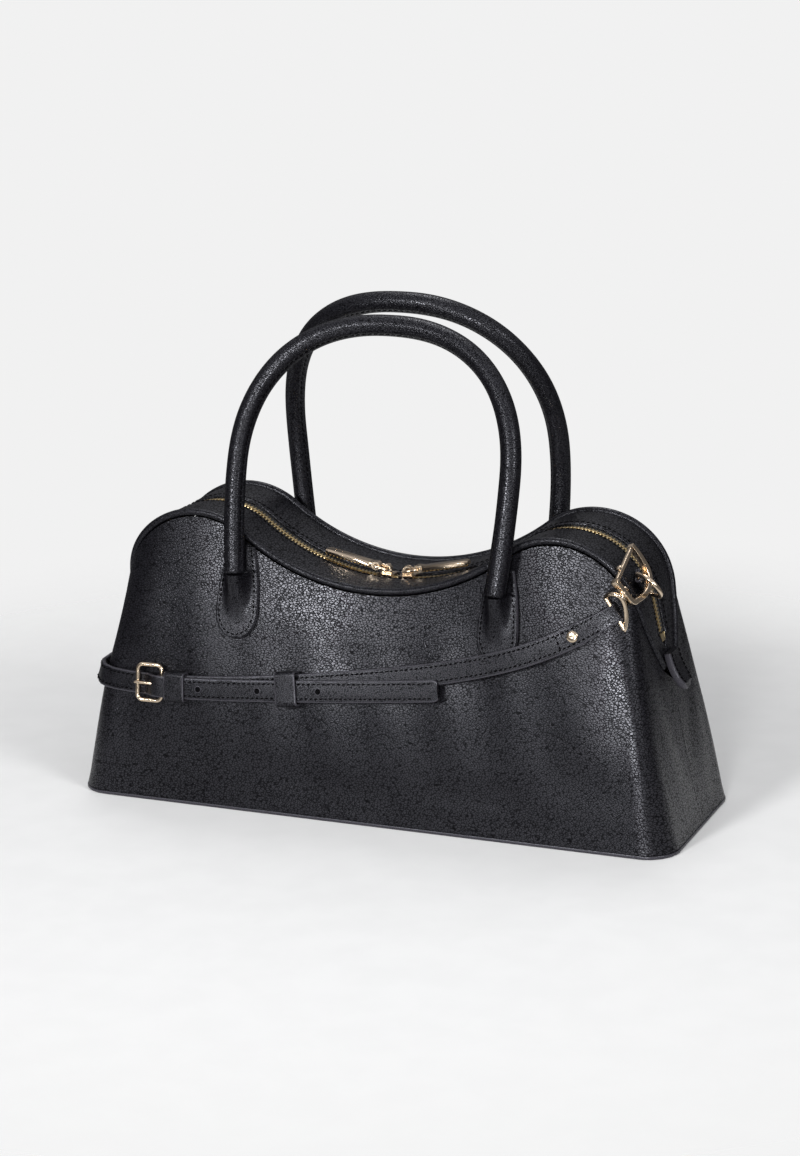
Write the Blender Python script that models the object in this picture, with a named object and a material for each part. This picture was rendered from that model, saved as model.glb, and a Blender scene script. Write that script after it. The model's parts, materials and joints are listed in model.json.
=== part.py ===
"""A soft zipped satchel with two rolled handles and a short shoulder strap.

Two leather panels stand on a stiffened base and meet in a seam at each end. A gusset closes the top
along an outline that rises over each shoulder and dips in the middle, and a double-slider zip runs
along it. The strap is clipped to two D-rings by swivel snap hooks and lies across the front.
Lengths are in metres, +Z is up, the front faces -Y, and the origin is the middle of the base."""

import math

import bmesh
import bpy
import numpy as np

# Clearances and sampling
GAP = 0.0003
OVERRUN = 0.002
PROBE = 0.00005
TUBE_SIDES = 8
WIRE_SIDES = 6

# Body outline, seen from the front
BASE_LENGTH = 0.350
BASE_DEPTH = 0.118
BASE_CORNER = 0.018
END_LEAN = math.radians(12)
SHOULDER_RADIUS = 0.045
CREST_HEIGHT = 0.162
DIP_HEIGHT = 0.126
END_SEAM_HEIGHT = 0.082

# Body depth and fullness
TOP_HALF_DEPTH = 0.035
END_HALF_DEPTH = 0.003
BELLY = 0.007
TAPER_START = math.radians(20)
TAPER_POWER_SHARE = 2.4
BELLY_POWER_SHARE = 6.0

# Leather, board and cloth
PANEL_LEATHER = 0.002
PANEL_SEAM = 0.0027
GUSSET_LEATHER = 0.0015
GUSSET_END = 0.008
BASE_LEATHER = 0.002
BOARD_THICKNESS = 0.003
BOARD_INSET = 0.004
LINING_CLOTH = 0.0008
LINING_TOP_SHARE = 0.88
PIPING_RADIUS = 0.002

# Zip
ZIP_EDGE = 0.0055
ZIP_DEPTH = 0.0021
ZIP_LENGTH = 0.1935
TAPE_THICKNESS = 0.0006
TAPE_WIDTH = 0.0098
TOOTH_SLIT = 0.0007
TOOTH_REACH = 0.0029
TOOTH_HALF_HEIGHT = 0.0012
STOP_LENGTH = 0.0036
STOP_HALF_HEIGHT = 0.0014

# Zip sliders and their pulls
SLIDER_START = 0.0062
SLIDER_LENGTH = 0.0085
SLIDER_HALF_WIDTH = 0.0043
SLIDER_HALF_HEIGHT = 0.0026
SLIDER_WALL = 0.0009
SLIDER_POST = 0.0004
SLIDER_SLOT = 0.0008
BAIL_RADIUS = 0.0027
BAIL_HOLE = 0.0015
BAIL_HALF_WIDTH = 0.0013
LINK_WIRE = 0.0008
LINK_HALF_WIDTH = 0.0034
LINK_REACH = 0.0062
LUG_RADIUS = 0.0024
LUG_HOLE = 0.0013
LUG_HALF_WIDTH = 0.0021
BAR_START = 0.0020
BAR_LENGTH = 0.0280
BAR_HALF_WIDTH = 0.0033
BAR_HALF_THICKNESS = 0.0016
PULL_LIFT = math.radians(9)

# Zip end tabs
TAB_HALF_WIDTH = 0.0080
TAB_THICKNESS = 0.0040
TAB_TOP = 0.0970
TAB_TIP = 0.0755
TAB_STANDOFF = 0.0006
TAB_TIP_STANDOFF = 0.0065

# Handles and their patches
HANDLE_RADIUS = 0.0055
HANDLE_HALF_SPAN = 0.076
HANDLE_FLARE = 0.003
HANDLE_LEG = 0.052
ARCH_SHARE = 0.87
HINGE_HEIGHT = 0.138
HINGE_DEPTH = 0.0483
FRONT_RISE = 0.128
BACK_RISE = 0.138
FRONT_LEAN = 0.043
BACK_LEAN = 0.037
FRONT_BOW = 0.004
BACK_BOW = 0.012
PATCH_LEATHER = 0.0018
PATCH_LIFT = 0.0006
PATCH_TOP = 0.1450
PATCH_TIP = 0.0965
PATCH_ROUND = 0.014
PATCH_HALF_WIDTH = 0.0118
PATCH_TOP_HALF_WIDTH = 0.0070
STUB_START = 0.1140
STUB_START_RADIUS = 0.0026

# D-rings and their tabs
RING_WIRE = 0.0013
RING_HALF_WIDTH = 0.0075
RING_LENGTH = 0.0140
RING_INSET = 0.0122
RING_ALONG = 0.0023
RING_LIFT = 0.0034
RING_LEAN = math.radians(45)
RING_TAB_LEATHER = 0.0011
RING_TAB_HALF_WIDTH = 0.0043
RING_TAB_LENGTH = 0.0085
TAB_WRAP = math.radians(115)

# Snap hooks
RIGHT_HOOK_PLACE = 0.1596
LEFT_HOOK_PLACE = 0.1850
HOOK_OVERHANG = 0.0122
HOOK_LIFT = 0.0019
HOOK_TURN = math.radians(25.6)
HOOK_RISE = math.radians(16.3)
HOOK_HALF_WIDTH = 0.0088
HOOK_LENGTH = 0.0245
HOOK_HALF_SIDE = 0.0015
HOOK_HALF_THICKNESS = 0.0018
GATE_HALF_SIDE = 0.0011
GATE_TONGUE = 0.0005
PIN_RADIUS = 0.0006
PIN_CLEARANCE = 0.00015
POST_RADIUS = 0.0009
POST_HEAD_RADIUS = 0.0019
POST_HEAD = 0.0010
POST_REACH = 0.0042
EYE_WIRE = 0.0012
EYE_HALF_WIDTH = 0.0098
EYE_TOP_HALF_WIDTH = 0.0042

# Strap, buckle and keepers
STRAP_HALF_WIDTH = 0.0060
STRAP_LEATHER = 0.0020
SKIVED_LEATHER = 0.0012
FOLD_HALF_WIDTH = 0.0048
OVERLAY_LIFT = 0.0012
STRAP_LIFT = 0.0028
UNDER_LIFT = 0.0005
RIGHT_EYE_LIFT = 0.0046
RIVET_PLACE = 0.1190
RIVET_HEAD_RADIUS = 0.0032
RIVET_HEAD = 0.0014
RIVET_RADIUS = 0.0010
HOLE_RADIUS = 0.0016
HOLE_PITCH = 0.0350
BUCKLE_BAR = -0.1180
BUCKLE_LENGTH = 0.0142
BUCKLE_HALF_HEIGHT = 0.0100
BUCKLE_CORNER = 0.0030
BUCKLE_WIRE = 0.0012
HINGE_BAR_LIFT = 0.0033
FRAME_LIFT = 0.0046
PRONG_RADIUS = 0.0008
PRONG_SLOT = 0.0019
KEEPER_WIDTH = 0.0120
KEEPER_LEATHER = 0.0012
KEEPER_LIFT = 0.0020
FIXED_KEEPER = -0.1080
LOOSE_KEEPER = -0.0425
EYE_PLACE = 0.1385
LEFT_EYE = (-0.775, 0.1010)
FOLD_SHARE = 0.022
FOLD_FALL = 0.0065
WRAP_START = -0.152
STRAP_TIP = 0.046
CORNER_LIFT = 0.0030
HOLE_COUNT = 3
FIRST_HOLE = 0.0242
HOOK_ROUTE = (
    (-0.118, 0.0685),
    (-0.075, 0.0710),
    (-0.035, 0.0745),
    (0.006, 0.0803),
    (0.041, 0.0875),
    (0.0755, 0.0971),
    (0.109, 0.1094),
    (0.121, 0.1155),
    (0.1385, 0.1275),
)
HOLE_ROUTE = (
    (-0.152, 0.0680),
    (-0.132, 0.0675),
    (-0.108, 0.0680),
    (-0.076, 0.0690),
    (-0.035, 0.0715),
    (0.006, 0.0748),
    (0.046, 0.0795),
)
FRONT_CORNER = ((-0.74, 0.0683), (-0.78, 0.0685), (-0.83, 0.0685))
BACK_CORNER = ((-0.815, 0.0865), (-0.835, 0.0790), (-0.875, 0.0720))

# How finely the shapes are divided
PANEL_PROBE_SHARE = 0.0005
PANEL_SEARCH_TURNS = 12
BASE_STEPS = 16
PANEL_COLUMNS = 33
PANEL_ROWS = 8
PIPING_STEPS = 49
GUSSET_STEPS = 39
ZIP_COLUMNS = 2
TAB_STEPS = 10
TAB_TIP_SHARE = 0.03
LINING_COLUMNS = 21
LINING_ROWS = 5
LINING_GAP = 0.0012
LINING_LENGTH_SHARE = 0.975
ROUND_SIDES = 12
ARC_STEPS = 7
LINK_STEPS = 3
BAR_END_SHARE = 0.7
BAR_FACET_SHARE = 0.45
HANDLE_STEPS = 15
LEG_STEPS = 6
CAP_STEPS = 4
PATCH_ROWS = 9
PATCH_COLUMNS = 5
PATCH_TIP_SHARE = 0.1
STUB_STEPS = 4
BOW_STEPS = 9
FOLD_STEPS = 7
HOOK_STEPS = 2
EYE_STEPS = 2
STRAP_STEPS = 16
BUCKLE_STEPS = 8
BEND_STEPS = 3
ROUTE_DEGREE = 4
PRONG_WRAP_SHARE = 0.7
TIP_SHARE = 0.55
HOOK_SHARES = (
    (-1.0, 0.0),
    (0.0, 0.0),
    (0.82, 0.0),
    (1.12, 0.16),
    (1.42, 0.42),
    (1.5, 0.64),
    (1.33, 0.86),
    (0.9, 1.0),
    (0.25, 1.07),
    (-0.4, 1.1),
    (-0.95, 1.1),
)
SEAM_POWER_SHARE = 3

# Derived from the outline
SHOULDER_HEIGHT = CREST_HEIGHT - SHOULDER_RADIUS
SHOULDER_PLACE = (
    BASE_LENGTH / 2 - (SHOULDER_RADIUS + SHOULDER_HEIGHT * math.sin(END_LEAN)) / math.cos(END_LEAN)
)
DIP_FALL = CREST_HEIGHT - DIP_HEIGHT
DIP_RADIUS = (SHOULDER_PLACE**2 + DIP_FALL**2) / (2 * DIP_FALL) - SHOULDER_RADIUS
DIP_ANGLE = math.asin(SHOULDER_PLACE / (SHOULDER_RADIUS + DIP_RADIUS))
DIP_CENTRE = np.array([0, 0, DIP_HEIGHT + DIP_RADIUS])
DIP_RUN = DIP_RADIUS * DIP_ANGLE
END_ANGLE = math.pi / 2 - END_LEAN
SHOULDER_RUN = DIP_RUN + SHOULDER_RADIUS * (DIP_ANGLE + END_ANGLE)
SHOULDER_END = (
    SHOULDER_PLACE + SHOULDER_RADIUS * math.sin(END_ANGLE),
    SHOULDER_HEIGHT + SHOULDER_RADIUS * math.cos(END_ANGLE),
)
TOP_RUN = SHOULDER_RUN + (SHOULDER_END[1] - END_SEAM_HEIGHT) / math.cos(END_LEAN)
TAPER_RUN = DIP_RUN + SHOULDER_RADIUS * (DIP_ANGLE + TAPER_START)
GUSSET_RUN = TOP_RUN - GUSSET_END
X_AXIS, Y_AXIS, Z_AXIS = np.eye(3)


def clear_scene():
    for old in list(bpy.data.objects):
        bpy.data.objects.remove(old, do_unlink=True)


def material(name, colour, metallic, roughness):
    made = bpy.data.materials.new(name)
    made.use_nodes = True
    shader = made.node_tree.nodes["Principled BSDF"]
    shader.inputs["Base Color"].default_value = (*colour, 1)
    shader.inputs["Metallic"].default_value = metallic
    shader.inputs["Roughness"].default_value = roughness
    return made


def add(name, points, faces, look, origin=(0, 0, 0), smooth=False):
    """A mesh object with its own material and its origin at the given point."""
    mesh = bpy.data.meshes.new(name)
    mesh.from_pydata((np.asarray(points) - np.asarray(origin)).tolist(), [], faces)
    shape = bmesh.new()
    shape.from_mesh(mesh)
    bmesh.ops.recalc_face_normals(shape, faces=shape.faces)
    shape.to_mesh(mesh)
    shape.free()
    mesh.polygons.foreach_set("use_smooth", [smooth] * len(mesh.polygons))
    made = bpy.data.objects.new(name, mesh)
    made.location = origin
    made.data.materials.append(material(name, *look))
    bpy.context.scene.collection.objects.link(made)
    return made


def combine(target, other, operation):
    """One EXACT Boolean; the other object is hidden as a cutter."""
    other.hide_render = True
    other.display_type = "WIRE"
    other.hide_set(True)
    step = target.modifiers.new(operation.lower(), "BOOLEAN")
    step.operation = operation
    step.solver = "EXACT"
    step.object = other


def sweep(sections, closed=False):
    """Points and faces of a tube through the sections, an array of rings by corners by 3."""
    rings, corners = sections.shape[:2]
    points = sections.reshape(-1, 3)
    faces = []
    for i in range(rings if closed else rings - 1):
        for j in range(corners):
            k = (j + 1) % corners
            after = (i + 1) % rings
            faces.append((i * corners + j, i * corners + k, after * corners + k, after * corners + j))
    if not closed:
        faces.append(tuple(range(corners)))
        faces.append(tuple((rings - 1) * corners + j for j in range(corners)))
    return points, faces


def slab(outer, inner):
    """Points and faces of the plate between two grids of the same size."""
    rows, columns = outer.shape[:2]
    count = rows * columns
    points = np.concatenate([outer.reshape(-1, 3), inner.reshape(-1, 3)])
    faces = []
    for i in range(rows - 1):
        for j in range(columns - 1):
            a = i * columns + j
            quad = (a, a + 1, a + columns + 1, a + columns)
            faces.append(quad)
            faces.append(tuple(count + k for k in reversed(quad)))
    rim = [j for j in range(columns)]
    rim += [i * columns + columns - 1 for i in range(1, rows)]
    rim += [(rows - 1) * columns + j for j in range(columns - 2, -1, -1)]
    rim += [i * columns for i in range(rows - 2, 0, -1)]
    for a, b in zip(rim, rim[1:] + rim[:1]):
        faces.append((b, a, count + a, count + b))
    return points, faces


def unit(vectors):
    vectors = np.asarray(vectors, float)
    return vectors / np.linalg.norm(vectors, axis=-1, keepdims=True)


def frames(path, up, closed=False):
    """Tangents, sideways and upward directions along a path, from an upward hint at each point."""
    if closed:
        tangent = unit(np.roll(path, -1, axis=0) - np.roll(path, 1, axis=0))
    else:
        tangent = unit(np.gradient(path, axis=0))
    side = unit(np.cross(up, tangent))
    return tangent, side, unit(np.cross(tangent, side))


def round_section(path, radius, up, sides, closed=False):
    """Rings of a round tube; the radius may vary along the path."""
    _, side, rise = frames(path, up, closed)
    turn = np.arange(sides) * 2 * math.pi / sides + math.pi / sides
    radius = np.broadcast_to(radius, len(path))[:, None, None]
    wheel = np.cos(turn)[None, :, None] * side[:, None] + np.sin(turn)[None, :, None] * rise[:, None]
    return path[:, None] + radius * wheel


def flat_section(path, half_width, low, high, up, closed=False):
    """Rings of a strip with its faces at heights low and high along the upward direction."""
    _, side, rise = frames(path, up, closed)
    wide = np.broadcast_to(half_width, len(path))[:, None] * side
    low = np.broadcast_to(low, len(path))[:, None] * rise
    high = np.broadcast_to(high, len(path))[:, None] * rise
    return path[:, None] + np.stack([low - wide, low + wide, high + wide, high - wide], axis=1)


def smooth_path(keys, steps, closed=False):
    """Catmull-Rom curve through the keys, with the same number of steps between each two."""
    keys = np.asarray(keys, float)
    if closed:
        padded = np.concatenate([keys[-1:], keys, keys[:2]])
    else:
        padded = np.concatenate([2 * keys[:1] - keys[1:2], keys, 2 * keys[-1:] - keys[-2:-1]])
    before, start, end, after = padded[:-3], padded[1:-2], padded[2:-1], padded[3:]
    share = (np.arange(steps) / steps)[None, :, None]
    blend = (
        2 * start[:, None]
        + (end - before)[:, None] * share
        + (2 * before - 5 * start + 4 * end - after)[:, None] * share**2
        + (3 * start - before - 3 * end + after)[:, None] * share**3
    ) / 2
    blend = blend.reshape(-1, keys.shape[1])
    return blend if closed else np.concatenate([blend, keys[-1:]])


def cylinder(name, start, end, radius, sides=16, look=((0.7, 0.6, 0.4), 1, 0.3)):
    """A straight round bar between two points."""
    start, end = np.asarray(start, float), np.asarray(end, float)
    hint = X_AXIS if abs(unit(end - start)[0]) < 1 / 2 else Y_AXIS
    ends = round_section(np.array([start, end]), radius, np.tile(hint, (2, 1)), sides)
    return add(name, *sweep(ends), look)


def outline(run):
    """Position and outward direction on the top outline, by the distance from the middle of the dip."""
    along = np.abs(run)
    sign = np.where(run < 0, -1, 1)
    dip = np.minimum(along, DIP_RUN) / DIP_RADIUS
    turn = np.clip(along - DIP_RUN, 0, SHOULDER_RUN - DIP_RUN) / SHOULDER_RADIUS - DIP_ANGLE
    straight = np.maximum(along - SHOULDER_RUN, 0)
    x_dip = DIP_RADIUS * np.sin(dip)
    z_dip = DIP_CENTRE[2] - DIP_RADIUS * np.cos(dip)
    x_end = SHOULDER_PLACE + SHOULDER_RADIUS * np.sin(turn) + straight * math.sin(END_LEAN)
    z_end = SHOULDER_HEIGHT + SHOULDER_RADIUS * np.cos(turn) - straight * math.cos(END_LEAN)
    in_dip = along < DIP_RUN
    lean = np.where(in_dip, -dip, turn)
    point = np.stack(
        [sign * np.where(in_dip, x_dip, x_end), 0 * lean, np.where(in_dip, z_dip, z_end)], axis=-1
    )
    return point, np.stack([sign * np.sin(lean), 0 * lean, np.cos(lean)], axis=-1)


def half_depth(run):
    """Half the width of the gusset."""
    share = np.clip((np.abs(run) - TAPER_RUN) / (TOP_RUN - TAPER_RUN), 0, 1)
    return END_HALF_DEPTH + (TOP_HALF_DEPTH - END_HALF_DEPTH) * (1 - share**TAPER_POWER_SHARE)


def gusset_point(run, depth, lift):
    """A point over the gusset, at a depth from the middle and a height above the leather."""
    point, out = outline(run)
    return point + np.multiply.outer(depth, Y_AXIS) + np.asarray(lift)[..., None] * out


def base_line(share):
    """Half of the base outline, from the middle of the front round the corner to the end seam."""
    straight = BASE_LENGTH / 2 - BASE_CORNER
    corner = BASE_CORNER * math.pi / 2
    end = BASE_DEPTH / 2 - BASE_CORNER
    along = np.abs(share) * (straight + corner + end)
    turn = np.clip((along - straight) / BASE_CORNER, 0, math.pi / 2)
    x = np.where(along < straight, along, straight + BASE_CORNER * np.sin(turn))
    y = -end - BASE_CORNER * np.cos(turn) + np.maximum(along - straight - corner, 0)
    return np.stack([np.where(share < 0, -1, 1) * x, y, 0 * x], axis=-1)


def panel_point(share, rise):
    """A point on the front panel, by its shares of the way along the outline and up the panel."""
    run = share * TOP_RUN
    point, _ = outline(run)
    top = point - half_depth(run)[..., None] * Y_AXIS
    rise = np.asarray(rise)[..., None]
    belly = BELLY * np.sin(math.pi * rise) * (1 - np.abs(share[..., None]) ** BELLY_POWER_SHARE)
    return base_line(share) * (1 - rise) + top * rise - belly * Y_AXIS


def panel_frame(share, rise, lift):
    """A point at a height off the front panel, with the outward direction there."""
    point = panel_point(share, rise)
    along = panel_point(share + PANEL_PROBE_SHARE, rise) - panel_point(share - PANEL_PROBE_SHARE, rise)
    upward = panel_point(share, rise + PANEL_PROBE_SHARE) - panel_point(share, rise - PANEL_PROBE_SHARE)
    out = unit(np.cross(along, upward))
    return point + np.asarray(lift)[..., None] * out, out


def on_panel(x, z, lift):
    """The same at a given place seen from the front, found by repeated correction."""
    x, z = np.broadcast_arrays(np.asarray(x, float), np.asarray(z, float))
    share = x / BASE_LENGTH
    for _ in range(PANEL_SEARCH_TURNS):
        rise = z / outline(share * TOP_RUN)[0][..., 2]
        found = panel_point(share, rise)[..., 0]
        share = np.clip(share + (x - found) / TOP_RUN, -1, 1)
    return panel_frame(share, z / outline(share * TOP_RUN)[0][..., 2], lift)


def back(points):
    """The same points turned half round, for what stands at the back."""
    return np.asarray(points) * np.array([-1, -1, 1])


def mirrored(points):
    """The same points at the back, on the same side."""
    return np.asarray(points) * np.array([1, -1, 1])

LEATHER = ((0.012, 0.011, 0.014), 0, 0.45)
CLOTH = ((0.05, 0.045, 0.04), 0, 0.9)
BOARD = ((0.2, 0.17, 0.13), 0, 0.8)
METAL = ((0.83, 0.69, 0.44), 1, 0.25)


def build_base():
    shares = np.linspace(-1, 1, 2 * BASE_STEPS + 1)
    front = base_line(shares)
    ring = np.concatenate([front[1:], mirrored(front)[::-1][1:]])
    for name, inset, low, high, look in (
        ("base_panel", 0, 0, BASE_LEATHER, LEATHER),
        ("base_board", BOARD_INSET, BASE_LEATHER + GAP, BASE_LEATHER + GAP + BOARD_THICKNESS, BOARD),
    ):
        shrink = np.array([1 - 2 * inset / BASE_LENGTH, 1 - 2 * inset / BASE_DEPTH, 1])
        plate = np.stack([ring * shrink + low * Z_AXIS, ring * shrink + high * Z_AXIS])
        add(name, *sweep(plate), look)


def panel_grid(lift):
    """The panel from just above the base to just under the piping."""
    shares = np.linspace(-1, 1, PANEL_COLUMNS)
    rises = np.linspace(0, 1, PANEL_ROWS)
    share, rise = np.meshgrid(shares, rises, indexing="ij")
    top = outline(share * TOP_RUN)[0][..., 2]
    low = (BASE_LEATHER + GAP) / top
    rise = low + rise * (1 - low)
    grid, out = panel_frame(share, rise, lift)
    _, up = outline(share * TOP_RUN)
    inward = unit(np.cross(np.cross(Y_AXIS, up), out))
    grid += PANEL_SEAM * rise[..., None] ** SEAM_POWER_SHARE * inward
    grid[..., 1] = np.minimum(grid[..., 1], -GAP / 2)
    grid[..., 2] = np.maximum(grid[..., 2], BASE_LEATHER + GAP)
    return grid


def build_panels():
    outer, inner = panel_grid(0), panel_grid(-PANEL_LEATHER)
    for row in (0, -1):
        inner[row] = outer[row] - math.copysign(PANEL_LEATHER, outer[row, 0, 0]) * X_AXIS
    for side, place in (("front", np.asarray), ("back", mirrored)):
        add(side + "_panel", *slab(place(outer), place(inner)), LEATHER, smooth=True)


def piping_ring(end, radius):
    run = np.linspace(-end, end, PIPING_STEPS)
    point, out = outline(run)
    path = point - half_depth(run)[:, None] * Y_AXIS
    return round_section(path, radius, out, WIRE_SIDES)


def build_piping():
    ring = piping_ring(GUSSET_RUN, PIPING_RADIUS)
    add("front_piping", *sweep(ring), LEATHER, smooth=True)
    add("back_piping", *sweep(mirrored(ring)), LEATHER, smooth=True)


def zip_strip(name, run, near, far, low, high, look):
    """A strip along the outline between two depths and two heights, with its twin at the back."""
    across = np.linspace(0, 1, ZIP_COLUMNS)[None, :]
    depth = near + (far - near) * across
    grids = []
    for lift in (high, low):
        grids.append(gusset_point(run[:, None] + 0 * depth, -depth, lift + 0 * depth))
    smooth = look is LEATHER
    add("front_" + name if smooth else name + "_front", *slab(*grids), look, smooth=smooth)
    grids = [mirrored(grid) for grid in grids]
    add("back_" + name if smooth else name + "_back", *slab(*grids), look, smooth=smooth)


def build_top():
    run = np.linspace(-GUSSET_RUN, GUSSET_RUN, GUSSET_STEPS)
    far = (half_depth(run) - PANEL_SEAM)[:, None]
    zip_strip("gusset", run, ZIP_EDGE, far, -GUSSET_LEATHER, 0, LEATHER)
    run = np.concatenate([[-ZIP_LENGTH], run[np.abs(run) < ZIP_LENGTH - PANEL_SEAM], [ZIP_LENGTH]])
    half = TAPE_THICKNESS / 2
    near = TOOTH_REACH + GAP
    far = np.minimum(near + TAPE_WIDTH, half_depth(run) - PANEL_SEAM)[:, None]
    zip_strip("zip_tape", run, near, far, -ZIP_DEPTH - half, -ZIP_DEPTH + half, CLOTH)
    low, high = -ZIP_DEPTH - TOOTH_HALF_HEIGHT, -ZIP_DEPTH + TOOTH_HALF_HEIGHT
    zip_strip("zip_teeth", run, TOOTH_SLIT, TOOTH_REACH + 0 * far, low, high, METAL)
    for name, sign in (("right", 1), ("left", -1)):
        run = sign * np.array([ZIP_LENGTH + GAP, ZIP_LENGTH + GAP + STOP_LENGTH])
        depth = np.array([-TOOTH_REACH, TOOTH_REACH])
        across, along = np.meshgrid(depth, run)
        lifts = (STOP_HALF_HEIGHT - ZIP_DEPTH, -STOP_HALF_HEIGHT - ZIP_DEPTH)
        grids = [gusset_point(along, across, lift + 0 * across) for lift in lifts]
        add("zip_stop_" + name, *slab(*grids), METAL)


def build_tab(side, sign):
    """The tongue that caps one end of the zip and hangs off the end seam."""
    share = np.linspace(0, 1, TAB_STEPS)
    height = TAB_TOP + (TAB_TIP - TAB_TOP) * share
    run = SHOULDER_RUN + (SHOULDER_END[1] - height) / math.cos(END_LEAN)
    path = gusset_point(run, 0 * share, TAB_STANDOFF + (TAB_TIP_STANDOFF - TAB_STANDOFF) * share**2)
    path[:, 0] *= sign
    from_tip = (1 - share) * (TAB_TOP - TAB_TIP)
    width = TAB_HALF_WIDTH * np.sqrt(
        np.clip(1 - (1 - np.minimum(from_tip / TAB_HALF_WIDTH, 1)) ** 2, TAB_TIP_SHARE, 1)
    )
    up = np.tile(sign * X_AXIS, (TAB_STEPS, 1))
    add("zip_tab_" + side, *sweep(flat_section(path, width, 0, TAB_THICKNESS, up)), LEATHER)


def build_lining():
    """An open tub of cloth just inside the panels."""
    shares = np.linspace(-1, 1, LINING_COLUMNS)
    rises = np.linspace(0, 1, LINING_ROWS)
    share, rise = np.meshgrid(shares, rises, indexing="ij")
    floor = BASE_LEATHER + BOARD_THICKNESS + 2 * GAP
    top = outline(share * TOP_RUN)[0][..., 2]
    walls = []
    for lift in (-PANEL_LEATHER - LINING_GAP, -PANEL_LEATHER - LINING_GAP - LINING_CLOTH):
        low = floor / top
        grid, _ = panel_frame(share, low + rise * (LINING_TOP_SHARE - low), lift)
        grid[..., 0] *= LINING_LENGTH_SHARE
        grid[..., 1] = np.minimum(grid[..., 1], 0)
        grid[[0, -1], :, 1] = 0
        walls.append(np.concatenate([grid[1:], mirrored(grid)[::-1][1:]]))
    outer, inner = walls
    outer[:, 0, 2] = floor
    inner[:, 0, 2] = floor + LINING_CLOTH
    columns, rows = outer.shape[:2]
    points = np.concatenate([outer.reshape(-1, 3), inner.reshape(-1, 3)])
    count = columns * rows
    faces = []
    for i in range(columns):
        here, after = i * rows, (i + 1) % columns * rows
        for j in range(rows - 1):
            faces.append((here + j, after + j, after + j + 1, here + j + 1))
            faces.append((count + here + j + 1, count + after + j + 1, count + after + j, count + here + j))
        faces.append((here + rows - 1, after + rows - 1, count + after + rows - 1, count + here + rows - 1))
    faces.append([i * rows for i in reversed(range(columns))])
    faces.append([count + i * rows for i in range(columns)])
    add("lining", points, faces, CLOTH, smooth=True)



def prism(name, centre, u, v, w, outline_uv, half_thickness, look, origin=(0, 0, 0), smooth=False):
    """A plate whose outline lies in the plane of u and v, thick along w."""
    flat = np.asarray(outline_uv, float)
    face = centre + flat[:, :1] * u + flat[:, 1:] * v
    return add(
        name, *sweep(np.stack([face - half_thickness * w, face + half_thickness * w])), look, origin, smooth
    )


def arc(centre, radius, start, end, steps):
    turn = np.linspace(start, end, steps)
    return np.stack([centre[0] + radius * np.cos(turn), centre[1] + radius * np.sin(turn)], axis=-1)


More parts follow.
